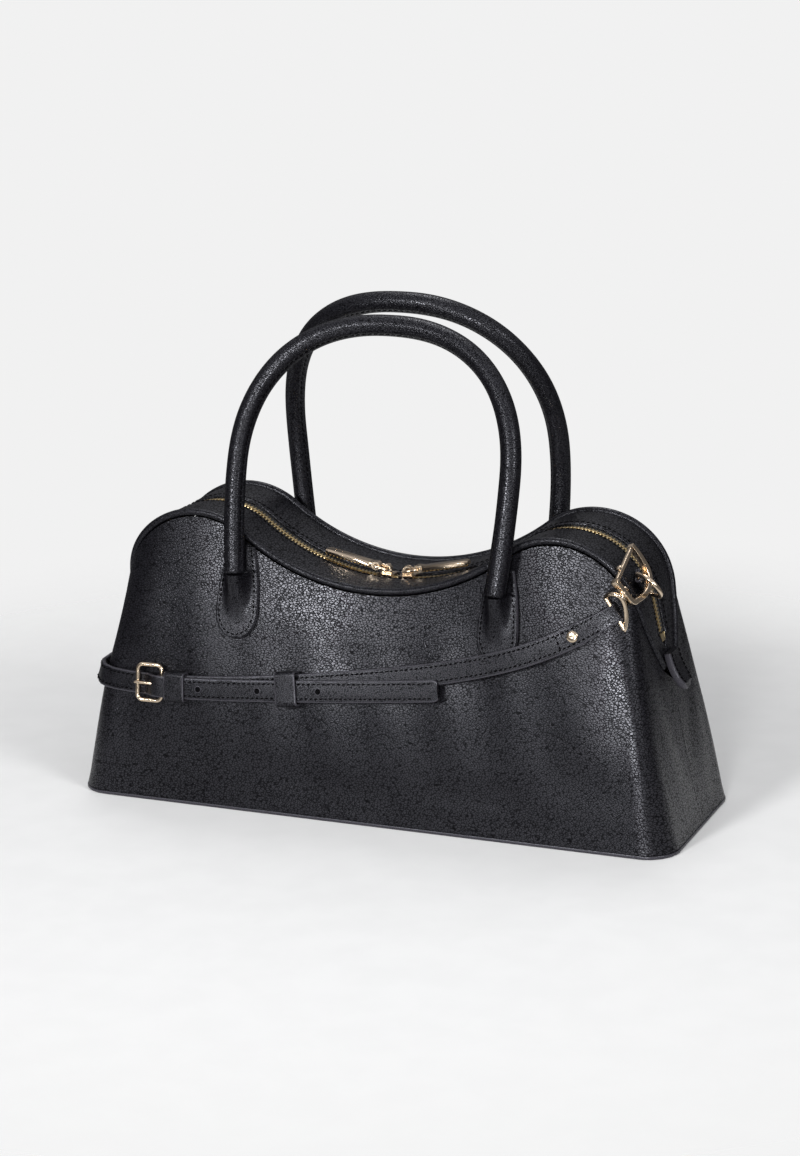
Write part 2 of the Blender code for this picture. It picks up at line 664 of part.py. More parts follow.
def build_slider(side, sign):
    """A slider on the chain, its ring and its pull, lying outwards along the zip."""
    run = np.array(sign * SLIDER_START)
    centre, out = outline(run)
    centre = centre - ZIP_DEPTH * out
    along = sign * np.cross(Y_AXIS, out)
    width, height, wall = SLIDER_HALF_WIDTH, SLIDER_HALF_HEIGHT, SLIDER_WALL
    inner = height - wall - GAP / 2
    half = [
        (width, height),
        (width, SLIDER_SLOT),
        (width - wall, SLIDER_SLOT),
        (width - wall, inner),
        (SLIDER_POST, inner),
        (SLIDER_POST, -inner),
        (width - wall, -inner),
        (width - wall, -SLIDER_SLOT),
        (width, -SLIDER_SLOT),
        (width, -height),
    ]
    shape = half + [(-y, z) for y, z in reversed(half)]
    slider = prism(
        "slider_" + side, centre, Y_AXIS, out, along, shape, SLIDER_LENGTH / 2, METAL, DIP_CENTRE
    )
    hole = centre + (height + BAIL_RADIUS - GAP) * out
    foot = [(-BAIL_RADIUS, -BAIL_RADIUS), (BAIL_RADIUS, -BAIL_RADIUS)]
    dome = arc((0, 0), BAIL_RADIUS, 0, math.pi, ARC_STEPS).tolist()
    bail = prism("bail_" + side, hole, along, out, Y_AXIS, foot + dome, BAIL_HALF_WIDTH, METAL)
    combine(slider, bail, "UNION")
    bore = cylinder(
        "bail_bore_" + side, hole - OVERRUN * Y_AXIS, hole + OVERRUN * Y_AXIS, BAIL_HOLE, ROUND_SIDES
    )
    combine(slider, bore, "DIFFERENCE")

    reach = math.cos(PULL_LIFT) * along + math.sin(PULL_LIFT) * out
    rise = math.cos(PULL_LIFT) * out - math.sin(PULL_LIFT) * along
    keys = [(0, 1), (1, 1), (2, 1), (2, 0), (2, -1), (1, -1), (0, -1), (0, 0)]
    steps = LINK_REACH / 2
    path = [hole + (k * steps) * reach + j * LINK_HALF_WIDTH * Y_AXIS for k, j in keys]
    path = smooth_path(path, LINK_STEPS, closed=True)
    rings = round_section(path, LINK_WIRE, np.tile(rise, (len(path), 1)), WIRE_SIDES, closed=True)
    add("pull_ring_" + side, *sweep(rings, closed=True), METAL, hole, smooth=True)

    pin = hole + LINK_REACH * reach
    lug = arc((0, 0), LUG_RADIUS, math.pi / 2, 3 * math.pi / 2, ARC_STEPS).tolist()
    lug += [(LUG_RADIUS + BAR_START, -BAR_HALF_THICKNESS), (LUG_RADIUS + BAR_START, BAR_HALF_THICKNESS)]
    pull = prism("pull_" + side, pin, reach, rise, Y_AXIS, lug, LUG_HALF_WIDTH, METAL, pin)
    bore = cylinder(
        "lug_bore_" + side, pin - 2 * OVERRUN * Y_AXIS, pin + 2 * OVERRUN * Y_AXIS, LUG_HOLE, ROUND_SIDES
    )
    combine(pull, bore, "DIFFERENCE")
    start = LUG_RADIUS + GAP
    stations = start + np.array([0, BAR_HALF_THICKNESS, BAR_LENGTH - BAR_HALF_THICKNESS, BAR_LENGTH])
    size = np.array([BAR_END_SHARE, 1, 1, BAR_END_SHARE])[:, None, None]
    wide, thick = BAR_HALF_WIDTH, BAR_HALF_THICKNESS
    corner = thick * BAR_FACET_SHARE
    section = np.array([(wide, corner), (wide - corner, thick), (corner - wide, thick), (-wide, corner)])
    section = np.concatenate([section, -section])
    section = section[None, :, :1] * size * Y_AXIS + section[None, :, 1:] * size * rise
    bar = add("bar_" + side, *sweep(pin + stations[:, None, None] * reach + section), METAL)
    combine(pull, bar, "UNION")


def handle_path(side):
    """Centre line of the front (-1) or back (1) handle, from one hinge over the top to the other."""
    turn = np.linspace(0, math.pi / 2, HANDLE_STEPS)
    wide = HANDLE_HALF_SPAN + HANDLE_FLARE
    rise = FRONT_RISE if side < 0 else BACK_RISE
    lean = FRONT_LEAN if side < 0 else BACK_LEAN
    bow = FRONT_BOW if side < 0 else BACK_BOW
    leg = np.linspace(0, 1, LEG_STEPS)[:-1]
    x = np.concatenate(
        [HANDLE_HALF_SPAN + HANDLE_FLARE * np.sin(leg * math.pi / 2), wide * np.cos(turn) ** ARCH_SHARE]
    )
    z = np.concatenate([HANDLE_LEG * leg, HANDLE_LEG + (rise - HANDLE_LEG) * np.sin(turn) ** ARCH_SHARE])
    share = z / rise
    y = side * (HINGE_DEPTH - lean * share + bow * np.sin(math.pi * share))
    half = np.stack([x, y, HINGE_HEIGHT + z], axis=-1)
    return np.concatenate([half[:-1], mirrored(back(half))[::-1]])


def build_handle(name, side):
    path = handle_path(side)
    up = np.tile(side * Y_AXIS, (len(path), 1))
    tangent, _, _ = frames(path, up)
    turn = np.linspace(0, math.pi / 2, CAP_STEPS)[:-1]
    cap = [path[0] - HANDLE_RADIUS * math.cos(a) * tangent[0] for a in turn]
    end = [path[-1] + HANDLE_RADIUS * math.cos(a) * tangent[-1] for a in turn]
    radius = np.maximum(HANDLE_RADIUS * np.sin(turn), PIN_RADIUS)
    path = np.concatenate([cap, path, end[::-1]])
    radius = np.concatenate([radius, np.full(len(path) - 2 * len(radius), HANDLE_RADIUS), radius[::-1]])
    up = np.tile(side * Y_AXIS, (len(path), 1))
    origin = np.array([0, side * (HINGE_DEPTH + HANDLE_RADIUS + GAP), HINGE_HEIGHT - HANDLE_RADIUS])
    add(name + "_handle", *sweep(round_section(path, radius, up, TUBE_SIDES)), LEATHER, origin, smooth=True)


def build_patch(name, sign, place):
    """A teardrop of leather on the panel with a rolled stub that meets the end of the handle."""
    height = np.linspace(PATCH_TIP, PATCH_TOP, PATCH_ROWS)
    from_tip = np.clip((height - PATCH_TIP) / PATCH_ROUND, 0, 1)
    round_width = PATCH_HALF_WIDTH * np.sqrt(np.clip(1 - (1 - from_tip) ** 2, PATCH_TIP_SHARE, 1))
    narrow = np.clip((height - PATCH_TIP - PATCH_ROUND) / (PATCH_TOP - PATCH_TIP - PATCH_ROUND), 0, 1)
    width = round_width - (PATCH_HALF_WIDTH - PATCH_TOP_HALF_WIDTH) * narrow**2
    across = np.linspace(-1, 1, PATCH_COLUMNS)
    x = sign * HANDLE_HALF_SPAN + width[:, None] * across
    grids = [on_panel(x, height[:, None], lift)[0] for lift in (PATCH_LIFT + PATCH_LEATHER, PATCH_LIFT)]
    patch = add(name, *slab(*[place(grid) for grid in grids]), LEATHER, smooth=True)
    top = HINGE_HEIGHT - HANDLE_RADIUS - GAP
    share = np.linspace(0, 1, STUB_STEPS)
    z = STUB_START + (top - STUB_START) * share
    start, _ = on_panel(sign * HANDLE_HALF_SPAN, z[0], PATCH_LIFT + GAP + STUB_START_RADIUS)
    y = start[1] + (-HINGE_DEPTH - start[1]) * np.sin(share * math.pi / 2)
    path = np.stack([np.full(STUB_STEPS, sign * HANDLE_HALF_SPAN), y, z], axis=-1)
    radius = STUB_START_RADIUS + (HANDLE_RADIUS - STUB_START_RADIUS) * np.sin(share * math.pi / 2)
    ring = round_section(path, radius, np.tile(-Y_AXIS, (STUB_STEPS, 1)), TUBE_SIDES)
    ring[-1, :, 2] = top
    combine(patch, add(name + "_stub", *sweep(place(ring)), LEATHER), "UNION")


def hook_place(place):
    """The middle of the hook's base bar over the front edge, and the hook's directions."""
    _, out = outline(np.array(place))
    along = np.cross(Y_AXIS, out)
    base = gusset_point(np.array(place), -half_depth(place) - HOOK_OVERHANG, HOOK_LIFT)
    inward = math.cos(HOOK_TURN) * Y_AXIS - math.sin(HOOK_TURN) * along
    across = math.cos(HOOK_TURN) * along + math.sin(HOOK_TURN) * Y_AXIS
    reach = math.cos(HOOK_RISE) * inward + math.sin(HOOK_RISE) * out
    return base, across, reach, np.cross(across, reach)


def build_ring(side, place, put):
    """The D-ring leaning towards the hook, and the leather tab round its bar."""
    run = np.array(place + RING_ALONG)
    _, out = outline(run)
    along = np.cross(Y_AXIS, out)
    bar = gusset_point(run, -half_depth(run) + RING_INSET, RING_LIFT)
    across = math.cos(HOOK_TURN) * along + math.sin(HOOK_TURN) * Y_AXIS
    away = math.sin(HOOK_TURN) * along - math.cos(HOOK_TURN) * Y_AXIS
    reach = math.cos(RING_LEAN) * away + math.sin(RING_LEAN) * out
    bend = RING_HALF_WIDTH / 4
    bow = arc((0, RING_LENGTH - RING_HALF_WIDTH), RING_HALF_WIDTH, 0, math.pi, BOW_STEPS).tolist()
    low = [
        (-RING_HALF_WIDTH, bend),
        (bend - RING_HALF_WIDTH, 0),
        (RING_HALF_WIDTH - bend, 0),
        (RING_HALF_WIDTH, bend),
    ]
    flat = np.array(low + bow)
    path = bar + flat[:, :1] * across + flat[:, 1:] * reach
    up = np.tile(np.cross(across, reach), (len(path), 1))
    rings = round_section(path, RING_WIRE, up, WIRE_SIDES, closed=True)
    add("d_ring_" + side, *sweep(put(rings), closed=True), METAL, put(bar), smooth=True)
    wrap = RING_WIRE + GAP + RING_TAB_LEATHER / 2
    floor = GAP + RING_TAB_LEATHER / 2 - RING_LIFT
    roof = floor + RING_TAB_LEATHER + GAP
    end = -RING_TAB_LENGTH
    turn = np.linspace(-TAB_WRAP, TAB_WRAP, FOLD_STEPS)
    fold = np.stack([wrap * np.cos(turn), wrap * np.sin(turn)], axis=-1).tolist()
    flat = np.array([(end, floor), (end / 2, floor)] + fold + [(end / 2, roof + GAP), (end, roof)])
    path = bar + flat[:, :1] * away + flat[:, 1:] * out
    up = np.cross(np.gradient(path, axis=0), across)
    strip = flat_section(path, RING_TAB_HALF_WIDTH, -RING_TAB_LEATHER / 2, RING_TAB_LEATHER / 2, up)
    add("ring_tab_" + side, *sweep(put(strip)), LEATHER)


def build_hook(side, place, put):
    """A flat snap hook: a bent body, a gate on a pin in its fork, and a hole for the swivel post."""
    base, across, reach, out = hook_place(place)

    def at(b, a, c=0):
        return put(base + b * across + a * reach + c * out)

    ahead, up, width = put(reach), put(out), put(across)
    keys = np.array(HOOK_SHARES) * (HOOK_HALF_WIDTH, HOOK_LENGTH)
    path = smooth_path(keys, HOOK_STEPS)
    path = base + path[:, :1] * across + path[:, 1:] * reach
    bar = flat_section(
        path, HOOK_HALF_SIDE, -HOOK_HALF_THICKNESS, HOOK_HALF_THICKNESS, np.tile(out, (len(path), 1))
    )
    body = add("hook_" + side, *sweep(put(bar)), METAL, at(0, 0))
    pivot = (-HOOK_HALF_WIDTH + HOOK_HALF_SIDE, GAP)
    tip = (pivot[0], HOOK_LENGTH * HOOK_SHARES[-1][1] - HOOK_HALF_SIDE - GAP)
    gap = GATE_TONGUE + GAP
    slot = [(-2, -2), (2, -2), (2, 2), (-2, 2)]
    slot = np.array(slot) * HOOK_HALF_SIDE
    combine(body, prism("fork_cut_" + side, at(*pivot), width, ahead, up, slot, gap, METAL), "DIFFERENCE")
    deep = HOOK_HALF_THICKNESS + OVERRUN
    bore = cylinder(
        "pin_bore_" + side, at(*pivot, -deep), at(*pivot, deep), PIN_RADIUS + PIN_CLEARANCE, ROUND_SIDES
    )
    combine(body, bore, "DIFFERENCE")
    deep = HOOK_HALF_SIDE + OVERRUN
    bore = cylinder("post_bore_" + side, at(0, -deep), at(0, deep), POST_RADIUS + GAP, ROUND_SIDES)
    combine(body, bore, "DIFFERENCE")

    line = unit(np.subtract(tip, pivot))
    length = np.linalg.norm(np.subtract(tip, pivot))
    g, h = line[0] * width + line[1] * ahead, line[1] * width - line[0] * ahead
    foot = 2 * HOOK_HALF_SIDE - 2 * GAP
    bar = [
        (foot, -GATE_HALF_SIDE), (length, -GATE_HALF_SIDE), (length, GATE_HALF_SIDE), (foot, GATE_HALF_SIDE)
    ]
    gate = prism("hook_gate_" + side, at(*pivot), g, h, up, bar, GATE_HALF_SIDE, METAL, at(*pivot))
    round_end = arc((0, 0), GATE_HALF_SIDE, math.pi / 2, 3 * math.pi / 2, ARC_STEPS).tolist()
    bar = round_end + [(foot + OVERRUN, -GATE_HALF_SIDE), (foot + OVERRUN, GATE_HALF_SIDE)]
    combine(gate, prism("gate_tongue_" + side, at(*pivot), g, h, up, bar, GATE_TONGUE, METAL), "UNION")
    deep = HOOK_HALF_THICKNESS
    pin = cylinder("gate_pin_" + side, at(*pivot, -deep), at(*pivot, deep), PIN_RADIUS, ROUND_SIDES)
    combine(gate, pin, "UNION")


def build_eye(side, place, bar, width, put):
    """The swivel eye that holds the strap, with its headed post through the hook."""
    base, across, reach, _ = hook_place(place)
    top = base - POST_REACH * reach
    left, right = bar + EYE_HALF_WIDTH * width, bar - EYE_HALF_WIDTH * width
    high_left, high_right = top - EYE_TOP_HALF_WIDTH * across, top + EYE_TOP_HALF_WIDTH * across
    keys = [right, bar, left, (left + high_left) / 2, high_left, top, high_right, (right + high_right) / 2]
    path = smooth_path(keys, EYE_STEPS, closed=True)
    up = np.tile(unit(np.cross(width, top - bar)), (len(path), 1))
    rings = round_section(path, EYE_WIRE, up, WIRE_SIDES, closed=True)
    eye = add("hook_eye_" + side, *sweep(put(rings), closed=True), METAL, smooth=True)
    inner = base + (HOOK_HALF_SIDE + GAP) * reach
    post = cylinder(
        "eye_post_" + side, put(top), put(inner + POST_HEAD / 2 * reach), POST_RADIUS, ROUND_SIDES
    )
    combine(eye, post, "UNION")
    head = cylinder(
        "eye_head_" + side, put(inner), put(inner + POST_HEAD * reach), POST_HEAD_RADIUS, ROUND_SIDES
    )
    combine(eye, head, "UNION")


def route(keys, x):
    """Height of the middle of a strap across the front, a smooth curve through the keys."""
    keys = np.array(keys)
    return np.polyval(np.polyfit(keys[:, 0], keys[:, 1], ROUTE_DEGREE), x)


def strap_frame(keys, x, lift):
    """Point, tangent, sideways and outward directions on a strap route."""
    point, out = on_panel(x, route(keys, x), lift)
    ahead, _ = on_panel(x + PROBE, route(keys, x + PROBE), lift)
    tangent = unit(ahead - point)
    side = unit(np.cross(out, tangent))
    return point, tangent, side, np.cross(tangent, side)


def fold(centre, tangent, out, radius, sign):
    """A half turn round a bar, from above it to below it."""
    turn = np.linspace(math.pi / 2, -math.pi / 2, FOLD_STEPS)[:, None]
    return centre + radius * (sign * np.cos(turn) * tangent + np.sin(turn) * out)


def along_route(keys, x, lift):
    share = np.array(lift)
    place = np.interp(x, share[:, 0], share[:, 1])
    return strap_frame(keys, x, place)[0]


def build_hook_strap():
    """The strap from the buckle's hinge bar to the right hook, folded back at both ends."""
    half, thin = STRAP_LEATHER / 2, SKIVED_LEATHER / 2
    wrap = EYE_WIRE + GAP + thin
    eye, tangent, side, out = strap_frame(HOOK_ROUTE, np.array(EYE_PLACE), np.array(RIGHT_EYE_LIFT))
    right = fold(eye, tangent, out, wrap, 1)
    bar, bar_tangent, _, bar_out = strap_frame(HOOK_ROUTE, np.array(BUCKLE_BAR), np.array(HINGE_BAR_LIFT))
    left = fold(bar, bar_tangent, bar_out, wrap, -1)[::-1]
    rise = np.linspace(BUCKLE_BAR + 2 * wrap, FIXED_KEEPER + KEEPER_WIDTH, FOLD_STEPS)
    x = np.concatenate(
        [rise, np.linspace(FIXED_KEEPER + 2 * KEEPER_WIDTH, EYE_PLACE - 2 * wrap, STRAP_STEPS)]
    )
    under = UNDER_LIFT + thin
    main = [
        (BUCKLE_BAR + 2 * wrap, HINGE_BAR_LIFT + wrap - GAP),
        (FIXED_KEEPER - KEEPER_WIDTH / 2, KEEPER_LIFT + KEEPER_LEATHER + GAP + half),
        (FIXED_KEEPER + KEEPER_WIDTH / 2, KEEPER_LIFT + KEEPER_LEATHER + GAP + half),
        (FIXED_KEEPER + 2 * KEEPER_WIDTH, STRAP_LIFT + half),
        (RIVET_PLACE, STRAP_LIFT + half),
        (EYE_PLACE - 2 * wrap, RIGHT_EYE_LIFT + wrap - 2 * GAP),
    ]
    low_right = np.linspace(EYE_PLACE - 2 * wrap, RIVET_PLACE - RIVET_HEAD_RADIUS, FOLD_STEPS)
    low_left = np.linspace(FIXED_KEEPER, BUCKLE_BAR + 2 * wrap, FOLD_STEPS)
    low = [(RIVET_PLACE, under), (EYE_PLACE - 2 * wrap, (under + RIGHT_EYE_LIFT - wrap) / 2)]
    path = [
        along_route(HOOK_ROUTE, low_left, [(0, under)]),
        left,
        along_route(HOOK_ROUTE, x, main),
        right,
        along_route(HOOK_ROUTE, low_right, low),
    ]
    count = [len(part) for part in path]
    path = np.concatenate(path)
    step = np.gradient(path, axis=0)
    _, _, sides, _ = strap_frame(HOOK_ROUTE, np.clip(path[:, 0], BUCKLE_BAR, EYE_PLACE), 0 * path[:, 0])
    up = np.cross(step, sides)
    thick = np.full(len(path), thin)
    thick[count[0] + count[1] + 2 : -count[4] - count[3] - 2] = half
    width = np.where(thick < half, FOLD_HALF_WIDTH, STRAP_HALF_WIDTH)
    strap = add("hook_strap", *sweep(flat_section(path, width, -thick, thick, up)), LEATHER)
    deep = STRAP_LIFT + STRAP_LEATHER + OVERRUN
    point, _, _, out_here = strap_frame(HOOK_ROUTE, np.array(RIVET_PLACE), np.array(0))
    bore = cylinder("rivet_bore", point, point + deep * out_here, RIVET_RADIUS + GAP, ROUND_SIDES)
    combine(strap, bore, "DIFFERENCE")
    slot = np.array([(-1, -1), (1, -1), (1, 1), (-1, 1)]) * (2 * wrap, PRONG_SLOT)
    side_here = np.cross(bar_out, bar_tangent)
    cut = prism("prong_slot", bar, bar_tangent, side_here, bar_out, slot, 2 * wrap, LEATHER)
    combine(strap, cut, "DIFFERENCE")
    top = point + (STRAP_LIFT + STRAP_LEATHER + GAP) * out_here
    rivet = cylinder("strap_rivet", top, top + RIVET_HEAD * out_here, RIVET_HEAD_RADIUS, ROUND_SIDES, METAL)
    shank = cylinder(
        "rivet_shank", point + GAP * out_here, top + RIVET_HEAD / 2 * out_here, RIVET_RADIUS, ROUND_SIDES
    )
    combine(rivet, shank, "UNION")
    build_eye("right", RIGHT_HOOK_PLACE, eye, side, np.asarray)


def build_hole_strap():
    """The strap from the left hook round the left end, through the buckle and both keepers to its tip."""
    half, thin = STRAP_LEATHER / 2, SKIVED_LEATHER / 2
    wrap = EYE_WIRE + GAP + thin
    rise = np.linspace(WRAP_START, BUCKLE_BAR + 2 * wrap, BUCKLE_STEPS)
    x = np.concatenate([rise, np.linspace(FIXED_KEEPER - KEEPER_WIDTH / 2, STRAP_TIP, STRAP_STEPS)])
    over_fold = HINGE_BAR_LIFT + wrap + thin + GAP + half
    over_keeper = KEEPER_LIFT + KEEPER_LEATHER + GAP + STRAP_LEATHER + GAP + half
    over_strap = STRAP_LIFT + STRAP_LEATHER + GAP + half
    lift = [
        (BUCKLE_BAR - BUCKLE_LENGTH, OVERLAY_LIFT + half),
        (BUCKLE_BAR - 4 * wrap, OVERLAY_LIFT + half),
        (BUCKLE_BAR - 3 * wrap / 2, over_fold),
        (BUCKLE_BAR + 3 * wrap / 2, over_fold),
        (FIXED_KEEPER - KEEPER_WIDTH / 2, over_keeper),
        (FIXED_KEEPER + KEEPER_WIDTH / 2, over_keeper),
        (FIXED_KEEPER + 2 * KEEPER_WIDTH, over_strap),
    ]
    front = along_route(HOLE_ROUTE, x, lift)
    _, _, _, front_out = strap_frame(HOLE_ROUTE, x, 0 * x)
    keys = [np.concatenate(corner_frame(*place, CORNER_LIFT)) for place in FRONT_CORNER]
    keys = [np.concatenate([front[0], front_out[0]])] + keys
    rear = [
        np.concatenate([mirrored(part) for part in corner_frame(*place, CORNER_LIFT)])
        for place in BACK_CORNER
    ]
    eye, tangent, side, out = left_eye()
    turned = fold(eye, tangent, out, wrap, 1)
    below = (LEFT_EYE[0] - FOLD_SHARE, LEFT_EYE[1] - FOLD_FALL)
    inner, _ = corner_frame(*below, UNDER_LIFT + thin)
    outer = np.concatenate([mirrored(part) for part in corner_frame(*below, STRAP_LIFT + half)])
    bend = smooth_path(np.array([outer] + rear + keys[::-1]), BEND_STEPS)[:-1]
    turned, inner, side = mirrored(turned), mirrored(inner), mirrored(side)
    path = np.concatenate([[inner], turned[::-1], bend[:, :3], front])
    step = np.gradient(path, axis=0)
    outward = np.concatenate([np.zeros((1 + len(turned), 3)) + mirrored(out), bend[:, 3:], front_out])
    count = 1 + len(turned)
    sides = unit(np.cross(outward, step))
    sides[:count] = sides[count]
    up = np.cross(step, sides)
    width = np.full(len(path), STRAP_HALF_WIDTH)
    width[-2:] = STRAP_HALF_WIDTH * np.array([1, TIP_SHARE])
    thick = np.full(len(path), half)
    thick[: count + 1] = thin
    width[: count + 1] = FOLD_HALF_WIDTH
    strap = add("hole_strap", *sweep(flat_section(path, width, -thick, thick, up)), LEATHER)
    for number in range(HOLE_COUNT):
        place = np.array(BUCKLE_BAR + FIRST_HOLE + number * HOLE_PITCH)
        point, _, _, out_here = strap_frame(HOLE_ROUTE, place, np.array(STRAP_LIFT + STRAP_LEATHER))
        bore = cylinder(
            f"hole_{number}",
            point - OVERRUN * out_here,
            point + 3 * OVERRUN * out_here,
            HOLE_RADIUS,
            ROUND_SIDES,
        )
        combine(strap, bore, "DIFFERENCE")
    slot = np.array([(-1, -1), (1, -1), (1, 1), (-1, 1)]) * (2 * wrap, PRONG_SLOT)
    point, tangent, side, out = strap_frame(
        HOOK_ROUTE, np.array(BUCKLE_BAR - 9 * wrap / 4), np.array(HINGE_BAR_LIFT)
    )
    combine(strap, prism("overlay_slot", point, tangent, side, out, slot, 4 * wrap, LEATHER), "DIFFERENCE")
    eye, _, side, _ = left_eye()
    build_eye("left", LEFT_HOOK_PLACE, eye * (-1, 1, 1), side * (-1, 1, 1), back)


def corner_frame(share, height, lift):
    """A point and the outward direction near an end of the front panel, by its share and height."""
    share = np.array(share)
    return panel_frame(share, height / outline(share * TOP_RUN)[0][2], np.array(lift))


def left_eye():
    """The left eye's bar as if it were at the front left, with its directions."""
    point, out = corner_frame(*LEFT_EYE, RIGHT_EYE_LIFT)
    below, _ = corner_frame(LEFT_EYE[0] - FOLD_SHARE, LEFT_EYE[1] - FOLD_FALL, RIGHT_EYE_LIFT)
    tangent = unit(point - below)
    side = unit(np.cross(out, tangent))
    return point, tangent, side, np.cross(tangent, side)


def build_buckle():
    """The frame on the strap's fold, its prong, and the fixed and loose keepers."""
    bar, tangent, side, out = strap_frame(HOOK_ROUTE, np.array(BUCKLE_BAR), np.array(HINGE_BAR_LIFT))
    raise_share = (FRAME_LIFT - HINGE_BAR_LIFT) / BUCKLE_LENGTH
    reach = unit(raise_share * out - tangent)
    bend, tall = BUCKLE_CORNER, BUCKLE_HALF_HEIGHT
    corners = [(0, tall - bend), (bend, tall), (BUCKLE_LENGTH - bend, tall), (BUCKLE_LENGTH, tall - bend)]
    flat = np.array(corners + [(u, -v) for u, v in reversed(corners)])
    path = bar + flat[:, :1] * reach + flat[:, 1:] * side
    up = np.tile(out, (len(path), 1))
    rings = round_section(path, BUCKLE_WIRE, up, WIRE_SIDES, closed=True)
    add("buckle_frame", *sweep(rings, closed=True), METAL, bar, smooth=True)
    inner = BUCKLE_WIRE + GAP
    turn = np.linspace(math.pi, math.pi - 2 * math.pi * PRONG_WRAP_SHARE, 2 * FOLD_STEPS)[:, None]
    middle = inner + PRONG_RADIUS
    eye = bar + middle * (np.cos(turn) * -tangent - np.sin(turn) * out)
    tip = bar + (BUCKLE_LENGTH + BUCKLE_WIRE) * reach + (BUCKLE_WIRE + GAP + PRONG_RADIUS) * out
    path = np.concatenate([eye, [(eye[-1] + tip) / 2 + GAP * out, tip]])
    rings = round_section(path, PRONG_RADIUS, np.tile(side, (len(path), 1)), WIRE_SIDES)
    add("buckle_prong", *sweep(rings), METAL, bar, smooth=True)
    for name, place, low, high in (
        (
            "keeper_fixed",
            FIXED_KEEPER,
            KEEPER_LIFT,
            KEEPER_LIFT + KEEPER_LEATHER + 2 * (STRAP_LEATHER + GAP) + GAP,
        ),
        (
            "keeper_loose",
            LOOSE_KEEPER,
            STRAP_LIFT - 2 * GAP - KEEPER_LEATHER,
            STRAP_LIFT + 2 * (STRAP_LEATHER + 2 * GAP),
        ),
    ):
        point, tangent, side, out = strap_frame(HOOK_ROUTE, np.array(place), np.array(0))
        slip = route(HOLE_ROUTE, place) - route(HOOK_ROUTE, place)
        top, foot = STRAP_HALF_WIDTH + 2 * GAP, slip - STRAP_HALF_WIDTH - 6 * GAP
        inner_low = low + KEEPER_LEATHER
        bend = KEEPER_LEATHER / 2
        flat = [(top, inner_low + bend), (top, high - bend), (top - bend, high), (foot + bend, high)]
        flat += [
            (foot, high - bend), (foot, inner_low + bend), (foot + bend, inner_low), (top - bend, inner_low)
        ]
        flat = np.array(flat)
        path = point + flat[:, :1] * side + flat[:, 1:] * out
        up = np.cross(np.roll(path, -1, axis=0) - np.roll(path, 1, axis=0), tangent)
        strip = flat_section(path, KEEPER_WIDTH / 2, 0, KEEPER_LEATHER, up, closed=True)
        add(name, *sweep(strip, closed=True), LEATHER, point)


clear_scene()
build_base()
build_panels()
build_piping()
build_top()
build_tab("right", 1)
build_tab("left", -1)
build_lining()
build_slider("right", 1)
build_slider("left", -1)
build_handle("front", -1)
build_handle("back", 1)
for patch_side, patch_sign in (("right", 1), ("left", -1)):
    build_patch("front_patch_" + patch_side, patch_sign, np.asarray)
    build_patch("back_patch_" + patch_side, patch_sign, mirrored)
for hook_side, hook_run, turned in (
    ("right", RIGHT_HOOK_PLACE, np.asarray), ("left", LEFT_HOOK_PLACE, back)
):
    build_ring(hook_side, hook_run, turned)
    build_hook(hook_side, hook_run, turned)
build_hook_strap()
build_hole_strap()
build_buckle()
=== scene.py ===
"""The satchel dressed for its picture: leather, brass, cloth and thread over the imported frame.

Shapes are grids and swept sections worked out with numpy from the frame's own measurements.
Lengths are in metres, +Z is up and the front faces -Y."""

import json
import math

import bmesh
import bpy
import numpy as np
from mathutils import Matrix

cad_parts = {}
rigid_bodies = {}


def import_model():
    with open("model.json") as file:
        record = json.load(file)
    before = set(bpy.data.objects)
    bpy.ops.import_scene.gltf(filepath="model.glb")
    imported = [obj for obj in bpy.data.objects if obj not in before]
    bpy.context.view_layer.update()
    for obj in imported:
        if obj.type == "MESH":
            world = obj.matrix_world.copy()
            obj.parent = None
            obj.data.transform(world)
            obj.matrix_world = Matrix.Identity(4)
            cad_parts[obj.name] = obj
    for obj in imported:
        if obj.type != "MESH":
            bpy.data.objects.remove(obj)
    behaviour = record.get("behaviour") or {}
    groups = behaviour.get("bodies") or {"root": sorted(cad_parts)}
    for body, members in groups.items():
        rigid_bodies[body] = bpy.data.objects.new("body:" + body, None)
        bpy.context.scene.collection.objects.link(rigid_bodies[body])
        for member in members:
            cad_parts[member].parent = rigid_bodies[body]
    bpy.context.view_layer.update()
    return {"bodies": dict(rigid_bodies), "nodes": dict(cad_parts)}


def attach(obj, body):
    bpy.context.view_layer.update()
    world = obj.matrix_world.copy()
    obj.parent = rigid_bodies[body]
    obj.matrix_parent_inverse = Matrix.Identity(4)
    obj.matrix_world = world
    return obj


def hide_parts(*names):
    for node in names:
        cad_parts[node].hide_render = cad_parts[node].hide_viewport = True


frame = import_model()

# Clearance and the step for directions
GAP = 0.0003
PROBE = 0.00005

# Body outline, seen from the front
BASE_LENGTH = 0.350
BASE_DEPTH = 0.118
BASE_CORNER = 0.018
END_LEAN = math.radians(12)
SHOULDER_RADIUS = 0.045
CREST_HEIGHT = 0.162
DIP_HEIGHT = 0.126
END_SEAM_HEIGHT = 0.082

# Body depth and fullness
TOP_HALF_DEPTH = 0.035
END_HALF_DEPTH = 0.003
BELLY = 0.007
TAPER_START = math.radians(20)
TAPER_POWER = 2.4
BELLY_POWER = 6.0
SEAM_POWER = 3

# Leather thicknesses and seams
PANEL_LEATHER = 0.002
PANEL_SEAM = 0.0027
GUSSET_LEATHER = 0.0015
GUSSET_END = 0.008
GUSSET_BEND = 0.0008
BASE_LEATHER = 0.002
BASE_RIM = 0.0006
PIPING_RADIUS = 0.002

# Zip
ZIP_EDGE = 0.0055
ZIP_DEPTH = 0.0021
ZIP_LENGTH = 0.1935
TAPE_THICKNESS = 0.0006
TAPE_WIDTH = 0.0098
TAPE_START = 0.0008
TOOTH_REACH = 0.0029
TOOTH_HALF_HEIGHT = 0.0012
TOOTH_PITCH = 0.0021

